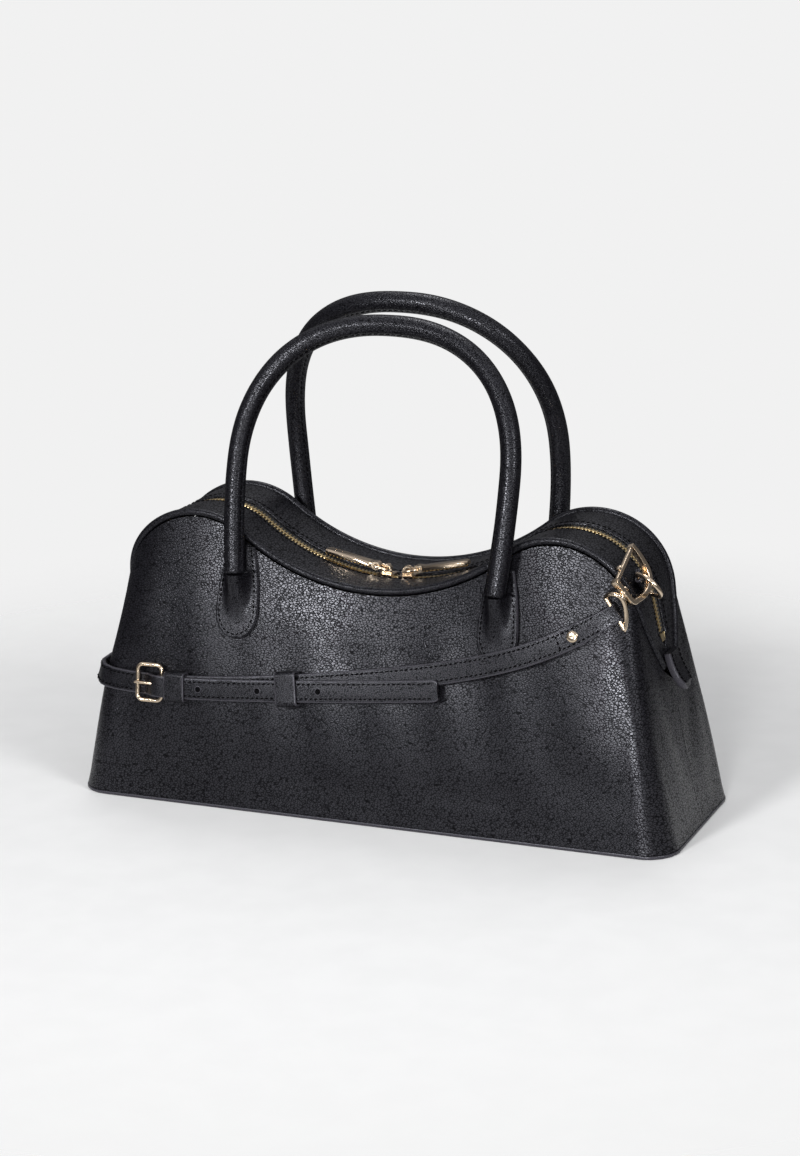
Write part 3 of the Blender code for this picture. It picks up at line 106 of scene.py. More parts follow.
# Zip sliders and their rings
SLIDER_START = 0.0062
SLIDER_HALF_HEIGHT = 0.0026
BAIL_RADIUS = 0.0027
LINK_WIRE = 0.0008
LINK_HALF_WIDTH = 0.0034
LINK_REACH = 0.0062
PULL_LIFT = math.radians(9)

# Zip end tabs
TAB_HALF_WIDTH = 0.0080
TAB_THICKNESS = 0.0040
TAB_TOP = 0.0970
TAB_TIP = 0.0755
TAB_STANDOFF = 0.0006
TAB_TIP_STANDOFF = 0.0065

# Handles and their patches
HANDLE_RADIUS = 0.0055
HANDLE_HALF_SPAN = 0.076
HANDLE_FLARE = 0.003
HANDLE_LEG = 0.052
HANDLE_POINTS = 400
SEAM_SIDE = 0.42
ARCH_SHARE = 0.87
HINGE_HEIGHT = 0.138
HINGE_DEPTH = 0.0483
HANDLE_RISE = {-1: 0.128, 1: 0.138}
HANDLE_LEAN = {-1: 0.043, 1: 0.037}
HANDLE_BOW = {-1: 0.004, 1: 0.012}
PATCH_LEATHER = 0.0018
PATCH_LIFT = 0.0006
PATCH_TOP = 0.1450
PATCH_TIP = 0.0965
PATCH_ROUND = 0.014
PATCH_RIM = 0.0009
PATCH_HALF_WIDTH = 0.0118
PATCH_TOP_HALF_WIDTH = 0.0070
RIDGE_START = 0.1035

# D-rings and their tabs
RING_WIRE = 0.0013
RING_HALF_WIDTH = 0.0075
RING_LENGTH = 0.0140
RING_INSET = 0.0122
RING_ALONG = 0.0023
RING_LIFT = 0.0034
RING_LEAN = math.radians(45)
RING_TAB_LEATHER = 0.0011
RING_TAB_HALF_WIDTH = 0.0043
RING_TAB_LENGTH = 0.0085
TAB_WRAP = math.radians(115)

# Snap hooks and their eyes
RIGHT_HOOK_PLACE = 0.1596
LEFT_HOOK_PLACE = 0.1850
HOOK_OVERHANG = 0.0122
HOOK_LIFT = 0.0019
HOOK_TURN = math.radians(25.6)
HOOK_RISE = math.radians(16.3)
HOOK_HALF_WIDTH = 0.0088
HOOK_LENGTH = 0.0245
HOOK_HALF_SIDE = 0.0015
HOOK_HALF_THICKNESS = 0.0018
GATE_HALF_SIDE = 0.0011
POST_RADIUS = 0.0009
POST_HEAD_RADIUS = 0.0019
POST_HEAD = 0.0010
POST_REACH = 0.0042
EYE_WIRE = 0.0012
EYE_HALF_WIDTH = 0.0098
HOOK_LINE = ((-1.0, 0.0), (0.0, 0.0), (0.82, 0.0), (1.12, 0.16), (1.42, 0.42), (1.5, 0.64),
             (1.33, 0.86), (0.9, 1.0), (0.25, 1.07), (-0.4, 1.1), (-0.95, 1.1))

# Strap, buckle and keepers
STRAP_HALF_WIDTH = 0.0060
STRAP_LEATHER = 0.0020
SKIVED_LEATHER = 0.0012
FOLD_HALF_WIDTH = 0.0048
HALF_STRAP = STRAP_LEATHER / 2
HALF_SKIVED = SKIVED_LEATHER / 2
FOLD_WRAP = EYE_WIRE + GAP + HALF_SKIVED
OVERLAY_LIFT = 0.0012
STRAP_LIFT = 0.0028
UNDER_LIFT = 0.0005
RIGHT_EYE_LIFT = 0.0046
RIVET_PLACE = 0.1190
RIVET_HEAD_RADIUS = 0.0032
RIVET_HEAD = 0.0014
HOLE_RADIUS = 0.0016
HOLE_PITCH = 0.0350
HOLE_COUNT = 3
FIRST_HOLE = 0.0242
SPARE_HOLE = -0.012
BUCKLE_BAR = -0.1180
BUCKLE_LENGTH = 0.0142
BUCKLE_HALF_HEIGHT = 0.0100
BUCKLE_CORNER = 0.0030
BUCKLE_WIRE = 0.0012
HINGE_BAR_LIFT = 0.0033
FRAME_LIFT = 0.0046
PRONG_RADIUS = 0.0008
KEEPER_WIDTH = 0.0120
KEEPER_LEATHER = 0.0012
KEEPER_CORNER = 0.0009
KEEPER_LIFT = 0.0020
FIXED_KEEPER = -0.1080
LOOSE_KEEPER = -0.0425
EYE_PLACE = 0.1385
LEFT_EYE = (-0.775, 0.1010)
BELOW_LEFT_EYE = (LEFT_EYE[0] - 0.022, LEFT_EYE[1] - 0.0065)
WRAP_START = -0.152
STRAP_TIP = 0.046
CORNER_LIFT = 0.0030
HOOK_ROUTE = ((-0.118, 0.0685), (-0.075, 0.0710), (-0.035, 0.0745), (0.006, 0.0803), (0.041, 0.0875),
              (0.0755, 0.0971), (0.109, 0.1094), (0.121, 0.1155), (0.1385, 0.1275))
HOLE_ROUTE = ((-0.152, 0.0680), (-0.132, 0.0675), (-0.108, 0.0680), (-0.076, 0.0690), (-0.035, 0.0715),
              (0.006, 0.0748), (0.046, 0.0795))
FRONT_CORNER = ((-0.74, 0.0683), (-0.78, 0.0685), (-0.83, 0.0685))
BACK_CORNER = ((-0.815, 0.0865), (-0.835, 0.0790), (-0.875, 0.0720))
ROUTE_DEGREE = 4

# Stitches: pitch, length and gauge
STITCH_LIFT = 0.0001
GUSSET_STITCH = (0.0031, 0.0019, 0.00036)
TAB_STITCH = (0.0028, 0.0021, 0.00026)
HANDLE_STITCH = (0.0034, 0.0025, 0.00027)
PATCH_STITCH = (0.0028, 0.0017, 0.0004)
STRAP_STITCH = (0.0029, 0.0017, 0.0004)
CROSS_STITCH = (0.0026, 0.0017, 0.0004)
RING_TAB_STITCH = (0.0022, 0.0016, 0.0002)

# Derived from the outline
SHOULDER_HEIGHT = CREST_HEIGHT - SHOULDER_RADIUS
SHOULDER_PLACE = BASE_LENGTH / 2 - (SHOULDER_RADIUS + SHOULDER_HEIGHT * math.sin(END_LEAN)) / math.cos(END_LEAN)
DIP_FALL = CREST_HEIGHT - DIP_HEIGHT
DIP_RADIUS = (SHOULDER_PLACE**2 + DIP_FALL**2) / (2 * DIP_FALL) - SHOULDER_RADIUS
DIP_ANGLE = math.asin(SHOULDER_PLACE / (SHOULDER_RADIUS + DIP_RADIUS))
DIP_RUN = DIP_RADIUS * DIP_ANGLE
END_ANGLE = math.pi / 2 - END_LEAN
SHOULDER_RUN = DIP_RUN + SHOULDER_RADIUS * (DIP_ANGLE + END_ANGLE)
SHOULDER_END_HEIGHT = SHOULDER_HEIGHT + SHOULDER_RADIUS * math.cos(END_ANGLE)
TOP_RUN = SHOULDER_RUN + (SHOULDER_END_HEIGHT - END_SEAM_HEIGHT) / math.cos(END_LEAN)
TAPER_RUN = DIP_RUN + SHOULDER_RADIUS * (DIP_ANGLE + TAPER_START)
GUSSET_RUN = TOP_RUN - GUSSET_END
HANDLE_ROOT = HINGE_HEIGHT - HANDLE_RADIUS - GAP

# How finely the panel is searched
PANEL_PROBE = 0.0005
PANEL_SEARCH_TURNS = 12

# Camera, in pixels of the 800 x 1156 frame, metres and degrees
IMAGE_WIDE, IMAGE_TALL = 800, 1156
CAMERA_FOCUS = 2912
CAMERA_TARGET = (397.7, 567.7)
CAMERA_PLACE = (22.7, 15.0, 1.6)
CAMERA_HEIGHT = 0.130
CAMERA_ROLL = -1.2
SENSOR = 36
LAMP_DISTANCE = 2.4
LAMP_HEIGHT = 0.11

X_AXIS, Y_AXIS, Z_AXIS = np.eye(3)


def unit(vectors):
    """Vectors divided by their lengths."""
    vectors = np.asarray(vectors, float)
    return vectors / np.linalg.norm(vectors, axis=-1, keepdims=True)


def portion(distance, length):
    """A distance as a share of a length, kept between 0 and 1."""
    return np.clip(distance / length, 0, 1)


def rounding(share, least=0.0):
    """The rise of a quarter circle over a share from 0 to 1; its square is never under the least value."""
    return np.sqrt(np.maximum(1 - (1 - share) ** 2, least))


def soft_step(share):
    return share * share * (3 - 2 * share)


def turns(count):
    """Evenly spaced angles over a whole turn, without its end."""
    return np.arange(count) * 2 * math.pi / count


def arc(turn, radius):
    """Flat points on a circle about the origin."""
    return radius * np.stack([np.cos(turn), np.sin(turn)], axis=-1)


def laid(origin, flat, first, second):
    """Flat points laid out in space along two directions."""
    return origin + flat[:, :1] * first + flat[:, 1:] * second


def directions(way, out):
    """Unit vectors along a way, sideways and outward."""
    tangent = unit(way)
    side = unit(np.cross(out, tangent))
    return tangent, side, np.cross(tangent, side)


def circle(turn, first, second):
    """Unit circle points at the given turns, in the plane of two directions."""
    return np.cos(turn)[..., None] * first + np.sin(turn)[..., None] * second


def outline(run):
    """The top line seen from the front: the dip's arc, an arc over each shoulder, then a straight end."""
    along = np.abs(run)
    sign = np.where(run < 0, -1, 1)
    dip = np.minimum(along, DIP_RUN) / DIP_RADIUS
    turn = np.clip(along - DIP_RUN, 0, SHOULDER_RUN - DIP_RUN) / SHOULDER_RADIUS - DIP_ANGLE
    straight = np.maximum(along - SHOULDER_RUN, 0)
    x_end = SHOULDER_PLACE + SHOULDER_RADIUS * np.sin(turn) + straight * math.sin(END_LEAN)
    z_end = SHOULDER_HEIGHT + SHOULDER_RADIUS * np.cos(turn) - straight * math.cos(END_LEAN)
    in_dip = along < DIP_RUN
    x = np.where(in_dip, DIP_RADIUS * np.sin(dip), x_end)
    z = np.where(in_dip, DIP_HEIGHT + DIP_RADIUS - DIP_RADIUS * np.cos(dip), z_end)
    lean = np.where(in_dip, -dip, turn)
    point = np.stack([sign * x, 0 * lean, z], axis=-1)
    return point, np.stack([sign * np.sin(lean), 0 * lean, np.cos(lean)], axis=-1)


def half_depth(run):
    """Half the gusset's width: full over the top, narrowing by a power of the way down each end."""
    share = portion(np.abs(run) - TAPER_RUN, TOP_RUN - TAPER_RUN)
    return END_HALF_DEPTH + (TOP_HALF_DEPTH - END_HALF_DEPTH) * (1 - share**TAPER_POWER)


def gusset_point(run, depth, lift):
    """A point over the gusset: the top line moved sideways by a depth and outwards by a lift."""
    point, out = outline(run)
    return point + np.multiply.outer(depth, Y_AXIS) + np.asarray(lift)[..., None] * out


def base_line(share):
    """Half the base's outline: a straight front, a quarter circle, then the straight end."""
    straight = BASE_LENGTH / 2 - BASE_CORNER
    corner = BASE_CORNER * math.pi / 2
    end = BASE_DEPTH / 2 - BASE_CORNER
    along = np.abs(share) * (straight + corner + end)
    turn = np.clip((along - straight) / BASE_CORNER, 0, math.pi / 2)
    x = np.where(along < straight, along, straight + BASE_CORNER * np.sin(turn))
    y = -end - BASE_CORNER * np.cos(turn) + np.maximum(along - straight - corner, 0)
    return np.stack([np.where(share < 0, -1, 1) * x, y, 0 * x], axis=-1)


def panel_point(share, rise):
    """The front panel: a straight blend from the base line to the top line, swollen by a sine of the rise."""
    top = outline(share * TOP_RUN)[0] - half_depth(share * TOP_RUN)[..., None] * Y_AXIS
    rise = np.asarray(rise)[..., None]
    belly = BELLY * np.sin(math.pi * rise) * (1 - np.abs(share[..., None]) ** BELLY_POWER)
    return base_line(share) * (1 - rise) + top * rise - belly * Y_AXIS


def panel_frame(share, rise, lift):
    """A point lifted off the panel along the cross product of its two directions, and that direction."""
    step = PANEL_PROBE
    along = panel_point(share + step, rise) - panel_point(share - step, rise)
    upward = panel_point(share, rise + step) - panel_point(share, rise - step)
    out = unit(np.cross(along, upward))
    return panel_point(share, rise) + np.asarray(lift)[..., None] * out, out


def on_panel(x, z, lift):
    """The same at a place seen from the front, found by correcting the share again and again."""
    x, z = np.broadcast_arrays(np.asarray(x, float), np.asarray(z, float))
    share = x / BASE_LENGTH
    for _ in range(PANEL_SEARCH_TURNS):
        rise = z / outline(share * TOP_RUN)[0][..., 2]
        share = np.clip(share + (x - panel_point(share, rise)[..., 0]) / TOP_RUN, -1, 1)
    return panel_frame(share, z / outline(share * TOP_RUN)[0][..., 2], lift)


def back(points):
    """The points turned half round, for what stands at the back."""
    return np.asarray(points) * (-1, -1, 1)


def mirrored(points):
    """The points at the back, on the same side."""
    return np.asarray(points) * (1, -1, 1)


FACES = (("front", -1, np.asarray), ("back", 1, mirrored))
ENDS = (("right", 1), ("left", -1))


def frames(path, up, closed=False):
    """Sideways and upward directions along a path, from an upward hint."""
    if closed:
        tangent = unit(np.roll(path, -1, axis=0) - np.roll(path, 1, axis=0))
    else:
        tangent = unit(np.gradient(path, axis=0))
    side = unit(np.cross(np.broadcast_to(up, path.shape), tangent))
    return side, unit(np.cross(tangent, side))


def smooth_path(keys, steps, closed=False):
    """Catmull-Rom curve through the keys, with the same number of steps between each two."""
    keys = np.asarray(keys, float)
    if closed:
        padded = np.concatenate([keys[-1:], keys, keys[:2]])
    else:
        padded = np.concatenate([2 * keys[:1] - keys[1:2], keys, 2 * keys[-1:] - keys[-2:-1]])
    before, start, end, after = (part[:, None] for part in (padded[:-3], padded[1:-2], padded[2:-1], padded[3:]))
    share = (np.arange(steps) / steps)[None, :, None]
    blend = (2 * start + (end - before) * share + (2 * before - 5 * start + 4 * end - after) * share**2
             + (3 * start - before - 3 * end + after) * share**3) / 2
    blend = blend.reshape(-1, keys.shape[1])
    return blend if closed else np.concatenate([blend, keys[-1:]])


def evenly(path, count, closed=False):
    """The path again with evenly spaced points, read off its running length."""
    if closed:
        path = np.concatenate([path, path[:1]])
    length = np.concatenate([[0], np.cumsum(np.linalg.norm(np.diff(path[:, :3], axis=0), axis=1))])
    places = np.linspace(0, length[-1], count + 1 if closed else count)
    found = np.stack([np.interp(places, length, path[:, i]) for i in range(path.shape[1])], axis=-1)
    return found[:-1] if closed else found


def quads(rows, columns, close_rows=False, close_columns=False):
    """Four-sided faces over a grid of points, wrapping round where it closes."""
    i = np.arange(rows if close_rows else rows - 1)[:, None]
    j = np.arange(columns if close_columns else columns - 1)[None, :]
    after_i, after_j = (i + 1) % rows, (j + 1) % columns
    corners = [i * columns + j, i * columns + after_j, after_i * columns + after_j, after_i * columns + j]
    return np.stack([np.broadcast_to(c, (i.size, j.size)) for c in corners], axis=-1).reshape(-1, 4)


def sweep(rings, closed=False):
    """Points and faces of a tube through rings of points, capped at both ends unless it closes."""
    count, corners = rings.shape[:2]
    faces = quads(count, corners, closed, True).tolist()
    if not closed:
        faces.append(list(range(corners))[::-1])
        faces.append([(count - 1) * corners + j for j in range(corners)])
    return rings.reshape(-1, 3), faces


def lathe(centre, wheel, axis, radii, levels):
    """A turned shape: a ring for each radius, at its level along the axis."""
    radii, levels = (np.reshape(values, (-1, 1, 1)) for values in (radii, levels))
    return sweep(centre + radii * wheel + levels * axis)


def tube(path, radius, up, sides, closed=False):
    """A round tube or wire; the radius may vary along the path."""
    side, rise = frames(path, up, closed)
    radius = np.broadcast_to(radius, len(path))[:, None, None]
    return sweep(path[:, None] + radius * circle(turns(sides), side[:, None], rise[:, None]), closed)


def ribbon(path, half_width, low, high, up, corner, closed=False, crown=0.0):
    """A leather strip: a rectangle with round corners, its top crowned by a parabola.

    Each corner is an arc of the given radius. The second result is 1 on the cut edge and 0 on the face."""
    side, rise = frames(path, up, closed)
    inner = np.array([1, 0.7, 0.35, 0, -0.35, -0.7, -1])
    wide, tall, edge = [], [], []
    half_width, low, high = (np.broadcast_to(v, len(path))[:, None] for v in (half_width, low, high))
    for number in range(4):
        turn = np.linspace(0, math.pi / 2, 4) + number * math.pi / 2
        sign = 1 if number in (0, 3) else -1
        top = number < 2
        wide.append(sign * (half_width - corner) + corner * np.cos(turn))
        tall.append((high - corner if top else low + corner) + corner * np.sin(turn))
        edge.append(np.ones(len(turn)))
        if number in (0, 2):
            way = inner if top else -inner
            reach = np.maximum(half_width - corner - 0.0012, half_width / 4)
            wide.append(reach * way)
            tall.append((high if top else low) + crown * (1 - way**2) * top + 0 * reach)
            edge.append(np.zeros(len(way)))
    wide, tall = (np.concatenate(values, axis=1)[..., None] for values in (wide, tall))
    rings = path[:, None] + wide * side[:, None] + tall * rise[:, None]
    return sweep(rings, closed), np.tile(np.concatenate(edge), (len(path), 1))


def slab(outer, inner):
    """The plate between two grids of the same size."""
    rows, columns = outer.shape[:2]
    count = rows * columns
    face = quads(rows, columns)
    rim = np.concatenate([
        np.arange(columns),
        np.arange(1, rows) * columns + columns - 1,
        (rows - 1) * columns + np.arange(columns - 2, -1, -1),
        np.arange(rows - 2, 0, -1) * columns,
    ])
    after = np.roll(rim, -1)
    wall = np.stack([after, rim, count + rim, count + after], axis=-1)
    faces = np.concatenate([face, count + face[:, ::-1], wall]).tolist()
    return np.concatenate([outer.reshape(-1, 3), inner.reshape(-1, 3)]), faces


def joined(*shapes):
    """Several shapes as one."""
    points, faces, start = [], [], 0
    for found, sides in shapes:
        points.append(found)
        faces += [[start + k for k in side] for side in sides]
        start += len(found)
    return np.concatenate(points), faces


def repeated(shape, places):
    """One small shape put at many places; each place is an origin and three directions."""
    points, faces = shape
    moved = places[:, None, 0] + np.einsum("pc,ncd->npd", points, places[:, 1:])
    start = len(points) * np.arange(len(places))[:, None]
    return moved.reshape(-1, 3), [row for face in faces for row in (np.array(face)[None] + start).tolist()]


def link(name, data):
    """A new object in the scene."""
    made = bpy.data.objects.new(name, data)
    bpy.context.scene.collection.objects.link(made)
    return made


def run_map(mesh, uv):
    """A map from one pair of values for each point."""
    corner = np.empty(len(mesh.loops), int)
    mesh.loops.foreach_get("vertex_index", corner)
    mesh.uv_layers.new(name="run").data.foreach_set("uv", uv[corner].ravel())


def body_of(node):
    """The body that a node of the frame rides on."""
    holder = frame["nodes"][node].parent
    return next(name for name, body in frame["bodies"].items() if body is holder)


def finish(made, look, node, slot, sharp):
    """Shading, material and place in the frame; a piece with a slot stands in for its node."""
    made.data.polygons.foreach_set("use_smooth", [True] * len(made.data.polygons))
    made.data.set_sharp_from_angle(angle=math.radians(sharp))
    made.data.materials.append(look)
    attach(made, body_of(node))
    if slot:
        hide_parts(node)


def piece(name, shape, look, node, slot=None, edge=None, uv=None, sharp=40, place=np.asarray):
    """A finished mesh with its faces turned outwards, its edge mask and its map."""
    points, faces = shape
    mesh = bpy.data.meshes.new(name)
    mesh.from_pydata(place(points).tolist(), [], faces)
    if edge is not None:
        mesh.attributes.new("edge", "FLOAT", "POINT").data.foreach_set("value", np.ravel(edge))
    if uv is not None:
        run_map(mesh, uv)
    made = link(name, mesh)
    bpy.context.view_layer.objects.active = made
    bpy.ops.object.mode_set(mode="EDIT")
    bpy.ops.mesh.select_all(action="SELECT")
    bpy.ops.mesh.normals_make_consistent(inside=False)
    bpy.ops.object.mode_set(mode="OBJECT")
    finish(made, look, node, slot, sharp)


def strip(name, node, *measures, sharp=50, place=np.asarray, **more):
    """A leather strip with painted cut edges."""
    shape, edge = ribbon(*measures, **more)
    piece(name, shape, TRIM_LEATHER, node, "leather", edge=edge, sharp=sharp, place=place)


def brass(name, node, shape, sharp=40, place=np.asarray):
    piece(name, shape, BRASS, node, "metal", sharp=sharp, place=place)


def refined(node, look, width, slot, segments=2, dissolve=2.0):
    """A frame piece again with its triangles merged, its flats made whole and, when a width is given, its sharper
    edges rounded off.
    """
    made = link(node + "_fine", frame["nodes"][node].data.copy())
    mesh = made.data
    shape = bmesh.new()
    shape.from_mesh(mesh)
    bmesh.ops.remove_doubles(shape, verts=shape.verts, dist=0.00001)
    bmesh.ops.dissolve_limit(shape, angle_limit=math.radians(dissolve), verts=shape.verts, edges=shape.edges)
    shape.to_mesh(mesh)
    shape.free()
    places = np.array([point.co for point in mesh.vertices])
    run_map(mesh, np.stack([places[:, 0] + places[:, 1], places[:, 2]], axis=-1))
    if width:
        bevel = made.modifiers.new("round edges", "BEVEL")
        bevel.width = width
        bevel.segments = segments
        bevel.limit_method = "ANGLE"
        bevel.angle_limit = math.radians(35)
        bevel.harden_normals = True
    mesh.materials.clear()
    finish(made, look, node, slot, 35)


def stitch_shape():
    """One stitch: a short rod, thinner towards both ends."""
    along = np.array([-1, -0.92, -0.6, 0, 0.6, 0.92, 1])
    girth = np.array([0.25, 0.7, 0.97, 1, 0.97, 0.7, 0.25])
    return lathe(0 * X_AXIS, circle(turns(6), Y_AXIS, Z_AXIS), X_AXIS, girth, along)


def stitches(name, node, *lines):
    """Stitches along lines of points with outward directions, spaced evenly and set a little aslant."""
    places = []
    for points, outs, (pitch, length, gauge) in lines:
        total = np.linalg.norm(np.diff(points, axis=0), axis=1).sum()
        dense = evenly(np.concatenate([points, outs], axis=1), max(int(round(total / pitch)), 2) * 2 + 1)
        centre, out = dense[1::2, :3], unit(dense[1::2, 3:])
        along = unit(dense[2::2, :3] - dense[:-1:2, :3])
        side = np.cross(out, along)
        along = unit(along + 0.14 * side)
        shifted = centre + 0.25 * gauge * out
        places.append(np.stack([shifted, length / 2 * along, gauge * side, gauge * out], axis=1))
    piece(name, repeated(stitch_shape(), np.concatenate(places)), THREAD, node, sharp=180)


class Tree:
    """A node tree with short ways to add nodes. An input given as a socket is linked, any other is set."""

    def __init__(self, tree):
        tree.nodes.clear()
        self.tree = tree

    def give(self, sockets, values):
        for key, value in values.items():
            if isinstance(value, bpy.types.NodeSocket):
                self.tree.links.new(value, sockets[key])
            else:
                sockets[key].default_value = value

    def put(self, kind, values, out=0, **settings):
        """One output of a new node, or all; its settings are made before its inputs."""
        made = self.tree.nodes.new("ShaderNode" + kind)
        for key, value in settings.items():
            setattr(made, key, value)
        self.give(made.inputs, values)
        return made.outputs if out is None else made.outputs[out]

    def close(self, closure, kind="OutputMaterial"):
        self.give(self.tree.nodes.new("ShaderNode" + kind).inputs, {"Surface": closure})

    def use(self, group, values):
        return self.put("Group", values, None, node_tree=group)

    def math(self, kind, *values):
        return self.put("Math", dict(enumerate(values)), operation=kind)

    def add(self, first, second):
        return self.math("ADD", first, second)

    def less(self, first, second):
        return self.math("SUBTRACT", first, second)

    def times(self, first, second):
        return self.math("MULTIPLY", first, second)

    def scaled(self, vector, size):
        return self.put("VectorMath", {0: vector, "Scale": size}, operation="SCALE")

    def place(self, kind="Object"):
        return self.put("TexCoord", {}, kind)

    def noise(self, place, scale, detail, out="Fac"):
        return self.put("TexNoise", {"Vector": place, "Scale": scale, "Detail": detail}, out)

    def cells(self, place, kind, out):
        return self.put("TexVoronoi", {"Vector": place, "Scale": 1.0, "Randomness": 1.0}, out, feature=kind)

    def bump(self, height, distance, strength, **more):
        return self.put("Bump", {"Height": height, "Distance": distance, "Strength": strength, **more})

    def ramp(self, value, low, high, to_low=0.0, to_high=1.0, kind="SMOOTHSTEP"):
        """A value carried smoothly from one range to another."""
        values = {"Value": value, "From Min": low, "From Max": high, "To Min": to_low, "To Max": to_high}
        return self.put("MapRange", values, "Result", interpolation_type=kind)

    def mix(self, factor, first, second):
        """Two colours blended; a plain colour is three numbers."""
        first, second = ((*c, 1) if isinstance(c, tuple) else c for c in (first, second))
        return self.put("Mix", {0: factor, 6: first, 7: second}, 2, data_type="RGBA")

    def shade(self, colour, rough, normal, **plain):
        """The shader and the output; more values go to the inputs of the same names."""
        more = {key.replace("_", " "): value for key, value in plain.items()}
        values = {"Base Color": colour, "Roughness": rough, "Normal": normal, **more}
        self.close(self.put("BsdfPrincipled", values))


def new_look(name):
    look = bpy.data.materials.new(name)
    look.use_nodes = True
    return look, Tree(look.node_tree)


def times_colour(colour, share, more=0.0):
    return tuple(share * c + more for c in colour)


def effect(name, floats, results):
    """An empty node group that takes a vector and named floats and puts out named floats."""
    tree = bpy.data.node_groups.new(name, "ShaderNodeTree")
    tree.interface.new_socket("Vector", in_out="INPUT", socket_type="NodeSocketVector")
    for label, value in floats.items():
        tree.interface.new_socket(label, in_out="INPUT", socket_type="NodeSocketFloat").default_value = value
    for label in results:
        tree.interface.new_socket(label, in_out="OUTPUT", socket_type="NodeSocketFloat")
    nodes = Tree(tree)
    return nodes, tree.nodes.new("NodeGroupInput").outputs, tree.nodes.new("NodeGroupOutput").inputs


def pebble_group():
    """Pebbled grain: cells of a stretched Voronoi pattern, domed by their distance to the crease."""
    tree, given, out = effect("pebbled_grain", {"Cells per metre": 900.0, "Wander": 0.35, "Crease width": 0.22},
                              ("Height", "Crease", "Tone"))
    scaled = tree.scaled(given["Vector"], given["Cells per metre"])
    shift = tree.noise(scaled, 0.8, 2.0, "Color")
    centred = tree.put("VectorMath", {0: shift, 1: (0.5, 0.5, 0.5)}, operation="SUBTRACT")
    moved = tree.scaled(centred, given["Wander"])
    place = tree.put("VectorMath", {0: scaled, 1: moved}, operation="ADD")
    dome = tree.ramp(tree.cells(place, "DISTANCE_TO_EDGE", "Distance"), 0.0, given["Crease width"])
    level = tree.put("SeparateColor", {"Color": tree.cells(place, "F1", "Color")}, None)
    high = tree.times(dome, tree.ramp(level[0], 0.0, 1.0, 0.8, 1.0, "LINEAR"))
    tree.give(out, {"Height": tree.add(high, tree.times(tree.noise(scaled, 5.0, 3.0), 0.04)),
                    "Crease": tree.less(1.0, dome), "Tone": level[1]})
    return tree.tree


def wear_group():
    """Uneven rubbing: a slow noise that thins or thickens the mask of a cut edge."""
    tree, given, out = effect("edge_wear", {"Edge": 0.0, "Spread": 0.5}, ("Mask",))
    patchy = tree.ramp(tree.noise(given["Vector"], 160.0, 4.0), 0.35, 0.65)
    start = tree.less(0.85, tree.times(patchy, given["Spread"]))
    tree.give(out, {"Mask": tree.ramp(given["Edge"], start, 1.0)})
    return tree.tree


def weave_group():
    """Plain weave on a run map: two crossing waves, each hidden where the other thread lies on top."""
    tree, given, out = effect("plain_weave", {"Threads per metre": 2500.0}, ("Height", "Shade"))
    scaled = tree.scaled(given["Vector"], given["Threads per metre"])
    waves = [tree.math("SINE", tree.times(tree.put("SeparateXYZ", {0: scaled}, axis), math.pi)) for axis in "XY"]
    over = tree.ramp(tree.times(*waves), -0.25, 0.25)
    warp, weft = (tree.math("ABSOLUTE", wave) for wave in waves)
    high = tree.add(tree.times(warp, over), tree.times(weft, tree.less(1.0, over)))
    tree.give(out, {"Height": high, "Shade": over})
    return tree.tree


PEBBLE, WEAR, WEAVE = pebble_group(), wear_group(), weave_group()


def leather(name, colour, cells, stretch, turn, rough, depth, paint=None, specular=0.68):
    """Grained leather: creases painted darker in colour and shine as painted shade and made rougher, slow tone
    changes, painted and rubbed cut edges.
    """
    look, tree = new_look(name)
    place = tree.place()
    grain_place = tree.put("Mapping", {"Vector": place, "Rotation": (0, math.radians(turn), 0), "Scale": stretch})
    grain = tree.use(PEBBLE, {"Vector": grain_place, "Cells per metre": cells, "Crease width": 0.2})
    slow = tree.noise(place, 28.0, 1.0)
    body = tree.mix(tree.ramp(slow, 0.3, 0.75, 0.0, 0.3), colour, times_colour(colour, 1.6, 0.001))
    # Painted shade: the base colour is darkened in the creases between the grain's cells.
    body = tree.mix(tree.times(grain["Crease"], 0.9), body, times_colour(colour, 0.1))
    height = grain["Height"]
    if paint:
        cut = tree.put("Attribute", {}, "Fac", attribute_name="edge")
        mask = tree.use(WEAR, {"Vector": place, "Edge": cut})["Mask"]
        body = tree.mix(mask, body, paint)
        height = tree.times(height, tree.less(1.0, mask))
    gloss = tree.ramp(grain["Tone"], 0.0, 1.0, rough - 0.03, rough + 0.04, "LINEAR")
    gloss = tree.add(gloss, tree.times(grain["Crease"], 0.12))
    gloss = tree.add(gloss, tree.ramp(slow, 0.35, 0.7, -0.015, 0.02))
    folds = tree.bump(tree.noise(place, 75.0, 2.0), 0.0011, 0.08)
    # Painted shade on the reflection: the specular level is lowered in the creases.
    shine = tree.less(specular, tree.times(grain["Crease"], 0.88 * specular))
    # Painted light colour: the leather's reflections are tinted cool, standing in for cool studio light.
    tree.shade(body, gloss, tree.bump(height, depth, 1.0, Normal=folds),
               Specular_IOR_Level=shine, Specular_Tint=(0.90, 0.91, 1.0, 1))
    return look


def metal(name, colour, rough):
    """Plated metal: cloudy gloss, faint fine scratches and a slight change of colour."""
    look, tree = new_look(name)
    place = tree.place()
    cloud = tree.noise(place, 260.0, 4.0)
    lines = tree.noise(tree.put("Mapping", {"Vector": place, "Scale": (1, 14, 14)}), 500.0, 2.0)
    body = tree.mix(tree.ramp(cloud, 0.3, 0.7), colour, times_colour(colour, 0.86))
    gloss = tree.add(tree.ramp(cloud, 0.3, 0.7, rough - 0.03, rough + 0.05), tree.times(lines, 0.04))
    tree.shade(body, gloss, tree.bump(lines, 0.00003, 0.12), Metallic=1.0)
    return look


